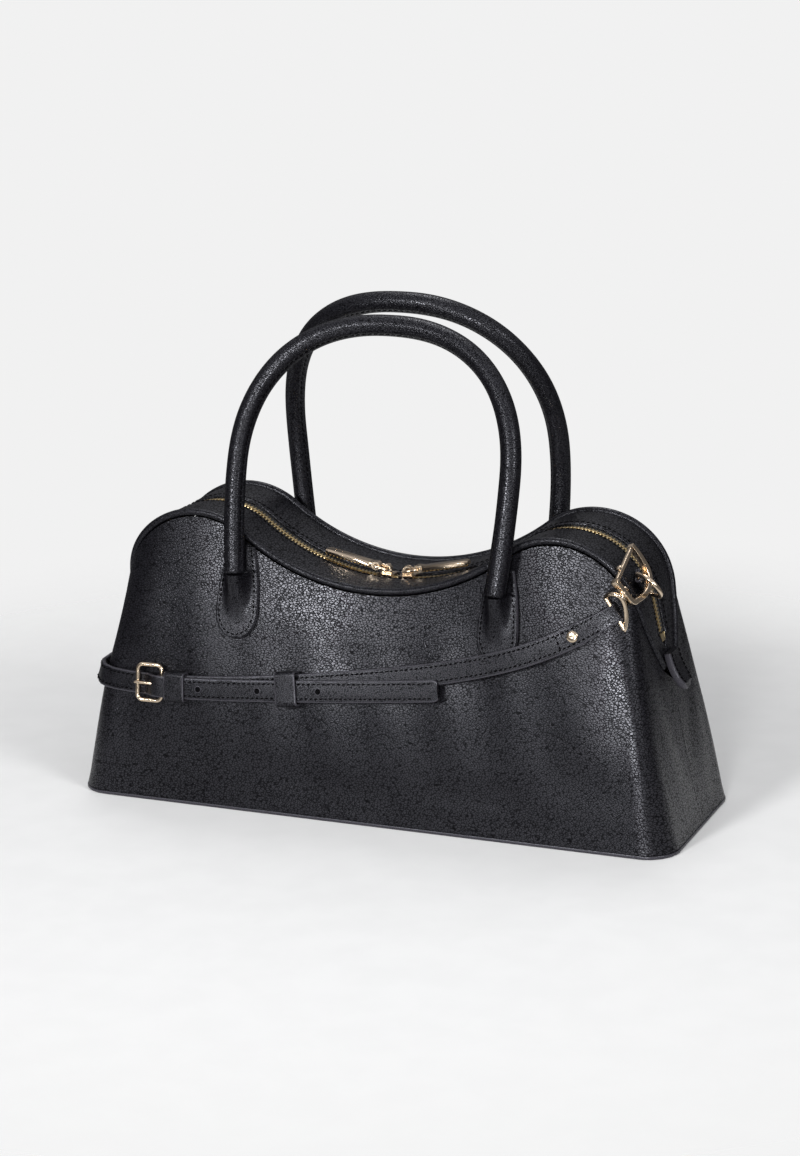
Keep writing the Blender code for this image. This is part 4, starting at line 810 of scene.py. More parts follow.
def cloth(name, dark, light, threads, rough=0.85):
    """Woven cloth on the piece's run map, a little lighter where one thread crosses over."""
    look, tree = new_look(name)
    run = tree.put("UVMap", {}, uv_map="run")
    weave = tree.use(WEAVE, {"Vector": run, "Threads per metre": threads})
    slow = tree.noise(run, 300.0, 3.0)
    body = tree.mix(weave["Shade"], dark, light)
    body = tree.mix(tree.ramp(slow, 0.35, 0.7, 0.0, 0.35), body, times_colour(dark, 0.5))
    tree.shade(body, tree.ramp(slow, 0.3, 0.7, rough - 0.05, rough + 0.05),
               tree.bump(weave["Height"], 0.00016, 0.9), Sheen_Weight=0.15, Sheen_Roughness=0.4)
    return look


def thread(name, colour):
    """Waxed sewing thread with a fine twist and hardly any shine."""
    look, tree = new_look(name)
    twist = tree.noise(tree.place(), 2600.0, 2.0)
    body = tree.mix(twist, times_colour(colour, 0.6), times_colour(colour, 1.3))
    tree.shade(body, tree.ramp(twist, 0.3, 0.7, 0.6, 0.8), tree.bump(twist, 0.0002, 0.8), Specular_IOR_Level=0.04)
    return look


BLACK = (0.0046, 0.0042, 0.0062)
EDGE_PAINT = (0.042, 0.040, 0.048)
BODY_LEATHER = leather("body_leather", BLACK, 600, (1.0, 0.6, 1.4), 28, 0.31, 0.00005)
TRIM_LEATHER = leather("trim_leather", BLACK, 950, (1.0, 0.6, 1.3), 28, 0.33, 0.00004, EDGE_PAINT)
HANDLE_LEATHER = leather("handle_leather", BLACK, 800, (0.8, 1.0, 1.7), 40, 0.28, 0.00006)
BRASS = metal("pale_brass", (0.90, 0.73, 0.54), 0.15)
TEETH_BRASS = metal("zip_brass", (0.80, 0.64, 0.36), 0.30)
TAPE = cloth("zip_tape", (0.010, 0.010, 0.013), (0.022, 0.022, 0.027), 3200)
LINING_LOOK = cloth("lining_cloth", (0.045, 0.040, 0.036), (0.075, 0.068, 0.060), 2400)
BOARD_LOOK = cloth("base_board_cover", (0.040, 0.036, 0.032), (0.060, 0.054, 0.048), 1800)
THREAD = thread("black_thread", (0.0012, 0.0011, 0.0015))
# Painted shade: a near-black look with hardly any reflection, for the discs standing in for the shaded depth of the
# strap's holes.
HOLE_SHADE = leather("hole_painted_shade", (0.003, 0.003, 0.0035), 1500, (1, 1, 1), 0, 0.8, 0.0001, specular=0.1)


def slack(share, rise):
    """How far the leather falls in: shallow dents, each a bell curve along and up the panel."""
    dents = [(-0.30, 0.62, 0.12, 0.16, 0.0011), (0.02, 0.70, 0.16, 0.12, 0.0013), (0.33, 0.66, 0.10, 0.18, 0.0010),
             (-0.62, 0.40, 0.07, 0.22, 0.0014), (0.60, 0.22, 0.09, 0.10, 0.0012), (-0.12, 0.16, 0.20, 0.07, 0.0008),
             (0.30, 0.17, 0.12, 0.06, 0.0008), (0.70, 0.55, 0.05, 0.25, 0.0013), (-0.80, 0.72, 0.04, 0.15, 0.0010)]
    depth = 0.00035 + 0.00035 * np.sin(38 * share + 5 * rise) * np.sin(math.pi * rise) ** 2
    for place, height, wide, tall, deep in dents:
        depth = depth + deep * np.exp(-(((share - place) / wide) ** 2) - ((rise - height) / tall) ** 2)
    return -depth


def panel_grid(lift):
    """The front panel from the base to the piping, drawn inwards near its seam, with its slack."""
    front = BASE_LENGTH / 2 - BASE_CORNER
    turn_at = front / (front + BASE_CORNER * math.pi / 2 + BASE_DEPTH / 2 - BASE_CORNER)
    bend = turn_at + (1 - turn_at) * np.linspace(0, 1, 41)[1:]
    shares = np.concatenate([-bend[::-1], np.linspace(-turn_at, turn_at, 141), bend])
    share, rise = np.meshgrid(shares, np.linspace(0, 1, 57), indexing="ij")
    top, up = outline(share * TOP_RUN)
    low = (BASE_LEATHER + GAP) / top[..., 2]
    rise = low + rise * (1 - low)
    grid, out = panel_frame(share, rise, lift)
    grid += PANEL_SEAM * rise[..., None] ** SEAM_POWER * unit(np.cross(np.cross(Y_AXIS, up), out))
    near_seam = portion(1 - rise, 0.12) * portion(rise - low, 0.05)
    grid += (slack(share, rise) * near_seam)[..., None] * out
    close = portion(np.abs(share) - 0.955, 0.045) ** 2
    grid[..., 1] = np.minimum(grid[..., 1] * (1 - close) - GAP / 2 * close, -GAP / 2)
    grid[..., 2] = np.maximum(grid[..., 2], BASE_LEATHER + GAP)
    return grid


def dress_panels():
    outer, inner = panel_grid(0), panel_grid(-PANEL_LEATHER)
    for end in (0, -1):
        inner[end] = outer[end] - math.copysign(PANEL_LEATHER, outer[end, 0, 0]) * X_AXIS
    for name, _, place in FACES:
        piece(name + "_panel_skin", slab(outer, inner), BODY_LEATHER, name + "_panel", "leather",
              sharp=60, place=place)


def dress_base():
    """The base: rings round the outline at rising heights, drawn in by a quarter circle at each rim."""
    front = base_line(np.linspace(-1, 1, 161))
    ring = np.concatenate([front[1:], mirrored(front)[::-1][1:]])
    rim, near = BASE_RIM, 0.3 * BASE_RIM
    insets = np.array([rim, near, 0, 0, near, rim])[:, None, None]
    heights = np.array([0, near, rim, BASE_LEATHER - rim, BASE_LEATHER - near, BASE_LEATHER])[:, None, None]
    rings = ring * (1 - 2 * insets * (1 / BASE_LENGTH, 1 / BASE_DEPTH, 0)) + heights * Z_AXIS
    edge = np.repeat([0.3, 1, 1, 1, 1, 0.3], len(ring))
    piece("base_skin", sweep(rings), TRIM_LEATHER, "base_panel", "leather", edge=edge)
    refined("base_board", BOARD_LOOK, 0.0006, "board")


def dress_piping():
    """The piping: a round cord in leather along the gusset's edge, its radius falling to a round end."""
    run = np.linspace(-GUSSET_RUN, GUSSET_RUN, 421)
    point, out = outline(run)
    radius = PIPING_RADIUS * rounding(portion(GUSSET_RUN - np.abs(run), PIPING_RADIUS), 0.02)
    cord = tube(point - half_depth(run)[:, None] * Y_AXIS, radius, out, 14)
    for name, _, place in FACES:
        piece(name + "_piping_cord", cord, TRIM_LEATHER, name + "_piping", "leather", sharp=70, place=place)


def dress_gussets():
    """Each half of the gusset: crowned a little, turned under along the zip, and meeting the other below it."""
    run = np.linspace(-GUSSET_RUN, GUSSET_RUN, 361)
    far = (half_depth(run) - 0.4 * PANEL_SEAM)[:, None]
    shut = soft_step(portion(np.abs(run) - ZIP_LENGTH, 0.008))
    start = (ZIP_EDGE + (GAP / 2 - ZIP_EDGE) * shut)[:, None]
    near = start + GUSSET_BEND * np.array([0, 0.06, 0.3, 0.65, 1.0])
    depth = np.concatenate([near, near[:, -1:] + np.linspace(0, 1, 14)[1:] * (far - near[:, -1:])], axis=1)
    lift = GUSSET_BEND * (rounding(portion(depth - start, GUSSET_BEND)) - 1)
    share = portion(depth - start, np.maximum(far - start, 0.001))
    lift = lift + 0.0006 * np.sin(math.pi * share) * np.minimum(1, far / 0.03)
    along = run[:, None] + 0 * depth
    shape = slab(gusset_point(along, -depth, lift), gusset_point(along, -depth, 0 * depth - GUSSET_LEATHER))
    seam = run[np.abs(run) < ZIP_LENGTH + 0.002]
    line = gusset_point(seam, 0 * seam - ZIP_EDGE - 0.0024, 0 * seam + STITCH_LIFT)
    for name, _, place in FACES:
        node = name + "_gusset"
        piece(node + "_skin", shape, BODY_LEATHER, node, "leather", sharp=60, place=place)
        stitches(node + "_stitches", node, (place(line), place(outline(seam)[1]), GUSSET_STITCH))


def dress_zip():
    """Woven tapes, two rows of brass teeth that mesh along the middle, and the end stops."""
    run = np.linspace(-ZIP_LENGTH, ZIP_LENGTH, 301)
    far = np.minimum(TOOTH_REACH + GAP + TAPE_WIDTH, half_depth(run) - PANEL_SEAM)[:, None]
    depth = TAPE_START + np.linspace(0, 1, 5) * (far - TAPE_START)
    along = run[:, None] + 0 * depth
    half = TAPE_THICKNESS / 2
    tape = slab(*(gusset_point(along, -depth, 0 * depth - ZIP_DEPTH + lift) for lift in (half, -half)))
    uv = np.tile(np.stack([along, depth], axis=-1).reshape(-1, 2), (2, 1))
    tooth = 0.001 * np.array([(2.9, -0.45), (2.9, 0.45), (1.2, 0.45), (0.6, 0.62), (0.0, 0.62),
                              (-0.6, 0.35), (-0.6, -0.35), (0.0, -0.62), (0.6, -0.62), (1.2, -0.45)])
    middle = np.append(tooth.mean(axis=0), 0)
    ring = np.pad(tooth, ((0, 0), (0, 1))) - middle
    heights = TOOTH_HALF_HEIGHT * np.array([-1, -0.75, 0.75, 1])
    shape = lathe(middle, ring, Z_AXIS, [0.72, 1, 1, 0.72], heights)
    for number, (name, sign, place) in enumerate(FACES):
        node = "zip_tape_" + name
        piece(node + "_woven", tape, TAPE, node, "tape", uv=uv, place=place)
        spots = np.arange(-ZIP_LENGTH + 0.001 + number * TOOTH_PITCH / 2, ZIP_LENGTH - 0.001, TOOTH_PITCH)
        point, out = outline(spots)
        beside = np.broadcast_to(sign * Y_AXIS, point.shape)
        places = np.stack([point - ZIP_DEPTH * out, beside, unit(np.cross(Y_AXIS, out)), out], axis=1)
        node = "zip_teeth_" + name
        piece(node + "_comb", repeated(shape, places), TEETH_BRASS, node, "metal", sharp=35)
    for side, _ in ENDS:
        refined("zip_stop_" + side, TEETH_BRASS, 0.0005, "metal", 3)


def dress_tab(side, sign):
    """The tongue over the end of the zip: a crowned strip that stands off more as the square of the way down."""
    share = np.linspace(0, 1, 41)
    height = TAB_TOP + (TAB_TIP - TAB_TOP) * share
    run = SHOULDER_RUN + (SHOULDER_END_HEIGHT - height) / math.cos(END_LEAN)
    path = gusset_point(run, 0 * share, TAB_STANDOFF + (TAB_TIP_STANDOFF - TAB_STANDOFF) * share**2)
    path[:, 0] *= sign
    way = (1 - share) * (TAB_TOP - TAB_TIP)
    width = TAB_HALF_WIDTH * rounding(portion(way, TAB_HALF_WIDTH), 0.02)
    thick = TAB_THICKNESS * (0.45 + 0.55 * portion(way, 0.003))
    node = "zip_tab_" + side
    strip(node + "_tongue", node, path, width, 0, thick, sign * X_AXIS, 0.0008, sharp=40, crown=0.0003)
    beside, rise = frames(path, sign * X_AXIS)
    reach = np.maximum(width - 0.0019, 0)[:, None] * beside
    high = path + (thick + 0.0002)[:, None] * rise
    kept = share < 0.88
    stitches(node + "_stitches", node, *(((high + s * reach)[kept], rise[kept], TAB_STITCH) for s in (1, -1)))


def handle_path(side):
    """Centre line of a handle: a flaring leg, a squarish arch, leaning in and bowed as the frame has it."""
    turn = np.linspace(0, math.pi / 2, 90)
    leg = np.linspace(0, 1, 30)[:-1]
    rise = HANDLE_RISE[side]
    x = np.concatenate([HANDLE_HALF_SPAN + HANDLE_FLARE * np.sin(leg * math.pi / 2),
                        (HANDLE_HALF_SPAN + HANDLE_FLARE) * np.cos(turn) ** ARCH_SHARE])
    z = np.concatenate([HANDLE_LEG * leg, HANDLE_LEG + (rise - HANDLE_LEG) * np.sin(turn) ** ARCH_SHARE])
    share = z / rise
    y = side * (HINGE_DEPTH - HANDLE_LEAN[side] * share + HANDLE_BOW[side] * np.sin(math.pi * share))
    half = np.stack([x, y, HINGE_HEIGHT + z], axis=-1)
    path = np.concatenate([half[:-1], half[::-1] * (-1, 1, 1)])
    root = HANDLE_RADIUS - GAP
    down, other = root * unit(path[:1] - path[1:2]), root * unit(path[-1:] - path[-2:-1])
    return evenly(np.concatenate([path[:1] + down, path, path[-1:] + other]), HANDLE_POINTS)


def dress_handle(name, side):
    """The rolled handle: a round tube with a sewn seam ridge along its inner side, stitched beside the ridge."""
    path = handle_path(side)
    beside, rise = frames(path, side * Y_AXIS)
    number = np.arange(HANDLE_POINTS)
    ends = np.minimum(number, HANDLE_POINTS - 1 - number) * np.linalg.norm(path[1] - path[0])
    cap = 1 - 0.18 * (1 - portion(ends, 0.0012)) ** 2
    swell = 1 + 0.012 * np.sin(number * 0.11) * np.sin(number * 0.043)
    angle = turns(28)[None]
    seam_at = math.pi if beside[HANDLE_POINTS // 2, 2] > 0 else 0.0
    away = np.abs((angle - seam_at + math.pi) % (2 * math.pi) - math.pi)
    ridge = 0.0007 * np.exp(-((away / 0.16) ** 2)) - 0.00045 * np.exp(-(((away - SEAM_SIDE) / 0.16) ** 2))
    radius = (HANDLE_RADIUS * swell * cap)[:, None] + ridge * cap[:, None]
    rolled = sweep(path[:, None] + radius[..., None] * circle(angle, beside[:, None], rise[:, None]))
    node = name + "_handle"
    piece(node + "_rolled", rolled, HANDLE_LEATHER, node, "leather", sharp=70)
    inner = slice(12, -12)
    outs = [circle(np.array(seam_at + shift), beside, rise) for shift in (-SEAM_SIDE, SEAM_SIDE)]
    lines = [((path + (HANDLE_RADIUS - GAP) * out)[inner], out[inner], HANDLE_STITCH) for out in outs]
    stitches(node + "_stitches", node, *lines)


def patch_width(height):
    """Half the patch's width: a quarter round at the tip, then narrowing as the square of the way up."""
    above = height - PATCH_TIP - PATCH_ROUND
    narrow = portion(above, PATCH_TOP - PATCH_TIP - PATCH_ROUND)
    round_width = PATCH_HALF_WIDTH * rounding(portion(height - PATCH_TIP, PATCH_ROUND), 0.012)
    return round_width - (PATCH_HALF_WIDTH - PATCH_TOP_HALF_WIDTH) * narrow**2


def patch_ridge(offset, height, y):
    """How far the rolled handle swells the patch: a bell across, cut off where the loose handle begins.

    Its crest rises by a smooth step from nothing low on the patch to the handle's outer side at the top."""
    way = soft_step(portion(height - RIDGE_START, HANDLE_ROOT - RIDGE_START))
    crest = np.maximum(y + HINGE_DEPTH + HANDLE_RADIUS, 0) * way * (height <= HANDLE_ROOT)
    return crest * np.exp(-np.abs(offset / 0.0057) ** 3.4)


def dress_patch(node, sign, place):
    """A drop of leather: its thickness falls as a quarter circle to the edge and swells over the handle's root."""
    down = np.linspace(0, 1, 61)
    height = PATCH_TIP + (HANDLE_ROOT - PATCH_TIP) * (0.25 * down + 0.75 * down**1.5)
    height = np.concatenate([height, [HANDLE_ROOT + 0.00002], np.linspace(HANDLE_ROOT, PATCH_TOP, 12)[1:]])
    width = patch_width(height)
    across = np.sin(np.linspace(-math.pi / 2, math.pi / 2, 61))[None]
    offset = width[:, None] * across
    x = sign * HANDLE_HALF_SPAN + offset
    margin = np.minimum((1 - np.abs(across)) * width[:, None], (height - PATCH_TIP)[:, None] * 0.8)
    fall = portion(margin, PATCH_RIM)
    thick = PATCH_LEATHER * (0.45 + 0.55 * rounding(fall))
    z = height[:, None] + 0 * x
    outer, inner = (on_panel(x, z, lift)[0] for lift in (PATCH_LIFT + thick, PATCH_LIFT + 0 * thick))
    outer = outer - (patch_ridge(offset, z, outer[..., 1]) * fall)[..., None] * Y_AXIS
    edge = 1 - portion(margin, 0.0007)
    mask = np.concatenate([edge.ravel(), np.ones(edge.size)])
    piece(node + "_drop", slab(outer, inner), TRIM_LEATHER, node, "leather", edge=mask, sharp=75, place=place)
    inset = 0.0021
    rows = np.linspace(PATCH_TIP + inset, PATCH_TOP - 0.001, 60)
    half = np.maximum(np.interp(rows, height, width) - inset, 0)
    half[0] = 0
    tip_width = (PATCH_HALF_WIDTH - inset) * rounding((rows - PATCH_TIP - inset) / (PATCH_ROUND - inset))
    half = np.where(rows < PATCH_TIP + PATCH_ROUND, np.minimum(half, tip_width), half)
    beside = np.concatenate([half[::-1], -half[1:]])
    line_x, line_z = sign * HANDLE_HALF_SPAN + beside, np.concatenate([rows[::-1], rows[1:]])
    found, out = on_panel(line_x, line_z, PATCH_LIFT + PATCH_LEATHER + 0 * line_x)
    found = found - patch_ridge(beside, line_z, found[:, 1])[:, None] * Y_AXIS
    stitches(node + "_stitches", node, (place(found), place(out), PATCH_STITCH))


def dress_slider(side, sign):
    """The slider's body with soft edges, an oval wire ring and a bar pull with a rounded block."""
    refined("slider_" + side, BRASS, 0.00038, "metal", 3)
    point, out = outline(np.array(sign * SLIDER_START))
    hole = point - ZIP_DEPTH * out + (SLIDER_HALF_HEIGHT + BAIL_RADIUS - GAP) * out
    along = sign * np.cross(Y_AXIS, out)
    reach = math.cos(PULL_LIFT) * along + math.sin(PULL_LIFT) * out
    rise = math.cos(PULL_LIFT) * out - math.sin(PULL_LIFT) * along
    keys = [(0, 1), (1, 1), (2, 1), (2, 0), (2, -1), (1, -1), (0, -1), (0, 0)]
    path = [hole + (k * LINK_REACH / 2) * reach + j * LINK_HALF_WIDTH * Y_AXIS for k, j in keys]
    node = "pull_ring_" + side
    brass(node + "_wire", node, tube(smooth_path(path, 12, closed=True), LINK_WIRE, rise, 14, True))
    refined("pull_" + side, BRASS, 0.00035, "metal", 3)


def route(keys, x):
    """Height of the middle of a strap across the front: the polynomial through the keys."""
    return np.polyval(np.polyfit(*np.transpose(keys), ROUTE_DEGREE), x)


def strap_frame(keys, x, lift):
    """Point, tangent, sideways and outward directions on a strap route."""
    point, out = on_panel(x, route(keys, x), lift)
    ahead, _ = on_panel(x + PROBE, route(keys, x + PROBE), lift)
    return point, *directions(ahead - point, out)


def fold(centre, tangent, out, sign):
    """A half turn of a strap round a bar, from above it to below it."""
    return centre + FOLD_WRAP * circle(np.linspace(math.pi / 2, -math.pi / 2, 15), sign * tangent, out)


def along_route(keys, x, lift):
    """Points of a strap whose height off the panel runs smoothly through the given places."""
    height = np.interp(x, *np.transpose(lift))
    if len(x) > 12:
        height = np.convolve(np.pad(height, 3, mode="edge"), np.ones(7) / 7, mode="valid")
    return strap_frame(keys, x, height)[0]


def corner_frame(share, height, lift):
    """A point and the outward direction near an end of the front panel."""
    share = np.array(share)
    return panel_frame(share, height / outline(share * TOP_RUN)[0][2], lift)


def left_eye():
    """The left eye's bar as if it were at the front left, with its directions."""
    point, out = corner_frame(*LEFT_EYE, RIGHT_EYE_LIFT)
    return point, *directions(point - corner_frame(*BELOW_LEFT_EYE, RIGHT_EYE_LIFT)[0], out)


def strap_lines(path, outs):
    """Two stitch lines along a strap, each the same way in from the edge."""
    reach = (STRAP_HALF_WIDTH - 0.0021) * unit(np.cross(outs, unit(np.gradient(path, axis=0))))
    high = path + (HALF_STRAP + STITCH_LIFT) * outs
    return [(high + sign * reach, outs, STRAP_STITCH) for sign in (1, -1)]


def strap_leather(node, path, up, body, tip=1.0):
    """A strap, skived thinner and narrower where the body share falls from 1 to 0."""
    thick = HALF_SKIVED + (HALF_STRAP - HALF_SKIVED) * body
    width = FOLD_HALF_WIDTH + (STRAP_HALF_WIDTH - FOLD_HALF_WIDTH) * body
    strip(node + "_leather", node, path, width * tip, -thick, thick, up, 0.0005, crown=0.00012)


def dress_hook_strap():
    """The strap from the buckle to the right hook, folded back at both ends, with its stitches and rivet."""
    eye, tangent, _, out = strap_frame(HOOK_ROUTE, EYE_PLACE, RIGHT_EYE_LIFT)
    right = fold(eye, tangent, out, 1)
    bar, tangent, _, out = strap_frame(HOOK_ROUTE, BUCKLE_BAR, HINGE_BAR_LIFT)
    left = fold(bar, tangent, out, -1)[::-1]
    start_x, end_x = BUCKLE_BAR + 2 * FOLD_WRAP, EYE_PLACE - 2 * FOLD_WRAP
    x = np.linspace(start_x, end_x, 220)
    under = UNDER_LIFT + HALF_SKIVED
    over_keeper = KEEPER_LIFT + KEEPER_LEATHER + GAP + HALF_STRAP
    middle = along_route(HOOK_ROUTE, x, [
        (start_x, HINGE_BAR_LIFT + FOLD_WRAP - GAP),
        (FIXED_KEEPER - KEEPER_WIDTH / 2, over_keeper),
        (FIXED_KEEPER + KEEPER_WIDTH / 2, over_keeper),
        (FIXED_KEEPER + 2 * KEEPER_WIDTH, STRAP_LIFT + HALF_STRAP),
        (RIVET_PLACE, STRAP_LIFT + HALF_STRAP),
        (end_x, RIGHT_EYE_LIFT + FOLD_WRAP - 2 * GAP),
    ])
    low_left = along_route(HOOK_ROUTE, np.linspace(FIXED_KEEPER, start_x, 9), [(0, under)])
    low_right = along_route(HOOK_ROUTE, np.linspace(end_x, RIVET_PLACE - RIVET_HEAD_RADIUS, 13),
                            [(RIVET_PLACE, under), (end_x, (under + RIGHT_EYE_LIFT - FOLD_WRAP) / 2)])
    path = np.concatenate([low_left, left, middle, right, low_right])
    sides = strap_frame(HOOK_ROUTE, np.clip(path[:, 0], BUCKLE_BAR, EYE_PLACE), 0 * path[:, 0])[2]
    number = np.arange(len(path))
    start, end = len(low_left) + len(left), len(path) - len(low_right) - len(right)
    body = portion(number - start - 2, 8) * portion(end - 3 - number, 8)
    strap_leather("hook_strap", path, np.cross(np.gradient(path, axis=0), sides), body)
    shown = (x > FIXED_KEEPER + KEEPER_WIDTH) & (x < RIVET_PLACE + 0.012)
    lines = strap_lines(middle[shown], strap_frame(HOOK_ROUTE, x, 0 * x)[3][shown])
    top = STRAP_LIFT + STRAP_LEATHER
    point, _, side, out = strap_frame(HOOK_ROUTE, np.array([RIVET_PLACE - 0.0075]), np.array([top + STITCH_LIFT]))
    across = point + np.linspace(-0.68, 0.68, 9)[:, None] * STRAP_HALF_WIDTH * side
    stitches("hook_strap_stitches", "hook_strap", *lines, (across, np.tile(out, (9, 1)), CROSS_STITCH))
    point, _, side, out = strap_frame(HOOK_ROUTE, RIVET_PLACE, top + GAP / 3)
    radii = RIVET_HEAD_RADIUS * np.array([0.98, 1, 0.99, 0.93, 0.8, 0.6, 0.34, 0.30, 0.26, 0.04])
    levels = RIVET_HEAD * np.array([0, 0.15, 0.4, 0.62, 0.8, 0.92, 0.99, 0.99, 0.90, 0.88])
    cap = lathe(point, circle(turns(40), np.cross(side, out), side), out, radii, levels)
    brass("strap_rivet_cap", "strap_rivet", cap)


def dress_hole_strap():
    """The strap from the left hook round the end, through the buckle and keepers to its tip, with its holes."""
    x = np.linspace(WRAP_START, STRAP_TIP, 240)
    over_fold = HINGE_BAR_LIFT + FOLD_WRAP + HALF_SKIVED + GAP + HALF_STRAP
    over_keeper = KEEPER_LIFT + KEEPER_LEATHER + GAP + STRAP_LEATHER + GAP + HALF_STRAP
    front = along_route(HOLE_ROUTE, x, [
        (BUCKLE_BAR - BUCKLE_LENGTH, OVERLAY_LIFT + HALF_STRAP),
        (BUCKLE_BAR - 4 * FOLD_WRAP, OVERLAY_LIFT + HALF_STRAP),
        (BUCKLE_BAR - 3 * FOLD_WRAP / 2, over_fold),
        (BUCKLE_BAR + 3 * FOLD_WRAP / 2, over_fold),
        (FIXED_KEEPER - KEEPER_WIDTH / 2, over_keeper),
        (FIXED_KEEPER + KEEPER_WIDTH / 2, over_keeper),
        (FIXED_KEEPER + 2 * KEEPER_WIDTH, STRAP_LIFT + STRAP_LEATHER + GAP + HALF_STRAP),
    ])
    front_out = strap_frame(HOLE_ROUTE, x, 0 * x)[3]
    eye, tangent, _, out = left_eye()
    turned = mirrored(fold(eye, tangent, out, 1))[::-1]
    inner = mirrored(corner_frame(*BELOW_LEFT_EYE, UNDER_LIFT + HALF_SKIVED)[0])
    rear = [corner_frame(*BELOW_LEFT_EYE, STRAP_LIFT + HALF_STRAP)]
    rear += [corner_frame(*place, CORNER_LIFT) for place in BACK_CORNER]
    keys = [np.concatenate(mirrored(pair)) for pair in rear]
    keys += [np.concatenate(corner_frame(*place, CORNER_LIFT)) for place in FRONT_CORNER[::-1]]
    bend = smooth_path(keys + [np.concatenate([front[0], front_out[0]])], 14)[:-1]
    path = np.concatenate([[inner], turned, bend[:, :3], front])
    step = np.gradient(path, axis=0)
    count = 1 + len(turned)
    outward = np.concatenate([np.zeros((count, 3)) + mirrored(out), bend[:, 3:], front_out])
    sides = unit(np.cross(outward, step))
    sides[:count] = sides[count]
    number = np.arange(len(path))
    tip = np.where(number > count + len(bend), portion(STRAP_TIP - path[:, 0], 0.0035), 1)
    body = portion(number - count, 10)
    strap_leather("hole_strap", path, np.cross(step, sides), body, 0.62 + 0.38 * rounding(tip))
    shown = np.flatnonzero(x > FIXED_KEEPER - 0.001)[:-4]
    before = (x > WRAP_START) & (x < BUCKLE_BAR - 0.017)
    wrapped = np.concatenate([bend[20:, :3], front[before]])
    lines = strap_lines(front[shown], front_out[shown])
    lines += strap_lines(wrapped, unit(np.concatenate([bend[20:, 3:], front_out[before]])))
    stitches("hole_strap_stitches", "hole_strap", *lines)
    rims, discs = [], []
    for offset in [FIRST_HOLE + number * HOLE_PITCH for number in range(HOLE_COUNT)] + [SPARE_HOLE]:
        place = BUCKLE_BAR + offset
        nearest = int(round(np.interp(place, x, np.arange(len(x)))))
        centre = front[nearest] + (HALF_STRAP + 0.00012) * front_out[nearest]
        _, ahead, side, out = strap_frame(HOLE_ROUTE, place, 0.0)
        ring = HOLE_RADIUS * circle(turns(28), ahead, side)
        rims.append(lathe(centre, ring, out, [1.25, 1.18, 1.05, 0.98, 0.96],
                          [-0.0001, 0.00014, 0.00018, 0.0001, -0.0001]))
        # Each hole is a dark disc laid on the strap's face: painted shade in place of a cut hole.
        discs.append(lathe(centre, ring, out, [0.97, 0.97, 0.5], [-0.0001, 0.00006, 0.00005]))
    rims = joined(*rims)
    piece("hole_rims", rims, TRIM_LEATHER, "hole_strap", edge=np.ones(len(rims[0])))
    piece("hole_shade_discs", joined(*discs), HOLE_SHADE, "hole_strap")


def dress_buckle():
    """The frame and the prong as round wire."""
    bar, tangent, side, out = strap_frame(HOOK_ROUTE, BUCKLE_BAR, HINGE_BAR_LIFT)
    reach = unit((FRAME_LIFT - HINGE_BAR_LIFT) / BUCKLE_LENGTH * out - tangent)
    bend, tall = BUCKLE_CORNER, BUCKLE_HALF_HEIGHT - BUCKLE_CORNER
    corner = arc(np.linspace(0, math.pi / 2, 9), bend)
    upper = np.concatenate([corner + (BUCKLE_LENGTH - bend, tall), corner[::-1] * (-1, 1) + (bend, tall)])
    flat = np.concatenate([upper, upper[::-1] * (1, -1)])
    path = evenly(laid(bar, flat, reach, side), 110, closed=True)
    brass("buckle_frame_wire", "buckle_frame", tube(path, BUCKLE_WIRE, out, 16, True))
    middle = BUCKLE_WIRE + GAP + PRONG_RADIUS
    eye = bar + middle * circle(np.linspace(math.pi, -math.pi / 2, 25), -tangent, -out)
    tip = bar + (BUCKLE_LENGTH + BUCKLE_WIRE) * reach + middle * out
    path = np.concatenate([eye, smooth_path([eye[-1], (eye[-1] + tip) / 2 + GAP * out, tip], 9)[1:]])
    radius = np.full(len(path), PRONG_RADIUS)
    radius[[0, -1]] *= 0.45
    brass("buckle_prong_wire", "buckle_prong", tube(path, radius, side, 12))


def dress_keeper(node, place, low, high, room):
    """A folded leather loop with rounded corners round both straps."""
    point, tangent, side, out = strap_frame(HOOK_ROUTE, place, 0)
    slip = route(HOLE_ROUTE, place) - route(HOOK_ROUTE, place)
    bend = KEEPER_CORNER
    top, foot = STRAP_HALF_WIDTH + 2 * GAP - bend, slip - STRAP_HALF_WIDTH - room * GAP + bend
    floor, roof = low + KEEPER_LEATHER + bend, high - bend
    middles = np.array([(top, roof), (foot, roof), (foot, floor), (top, floor)])
    angle = np.linspace(0, math.pi / 2, 7) + np.arange(4)[:, None] * math.pi / 2
    flat = evenly((middles[:, None] + arc(angle, bend)).reshape(-1, 2), 120, closed=True)
    path = laid(point, flat, side, out)
    up = np.cross(np.roll(path, -1, axis=0) - np.roll(path, 1, axis=0), tangent)
    strip(node + "_loop", node, path, KEEPER_WIDTH / 2, 0, KEEPER_LEATHER, up, 0.0004, closed=True, crown=0.0001)


def hook_place(place):
    """The middle of the hook's base bar over the front edge, and the hook's directions."""
    _, out = outline(np.array(place))
    along = np.cross(Y_AXIS, out)
    base = gusset_point(np.array(place), -half_depth(place) - HOOK_OVERHANG, HOOK_LIFT)
    across = circle(HOOK_TURN, along, Y_AXIS)
    reach = circle(HOOK_RISE, circle(HOOK_TURN, Y_AXIS, -along), out)
    return base, across, reach, np.cross(across, reach)


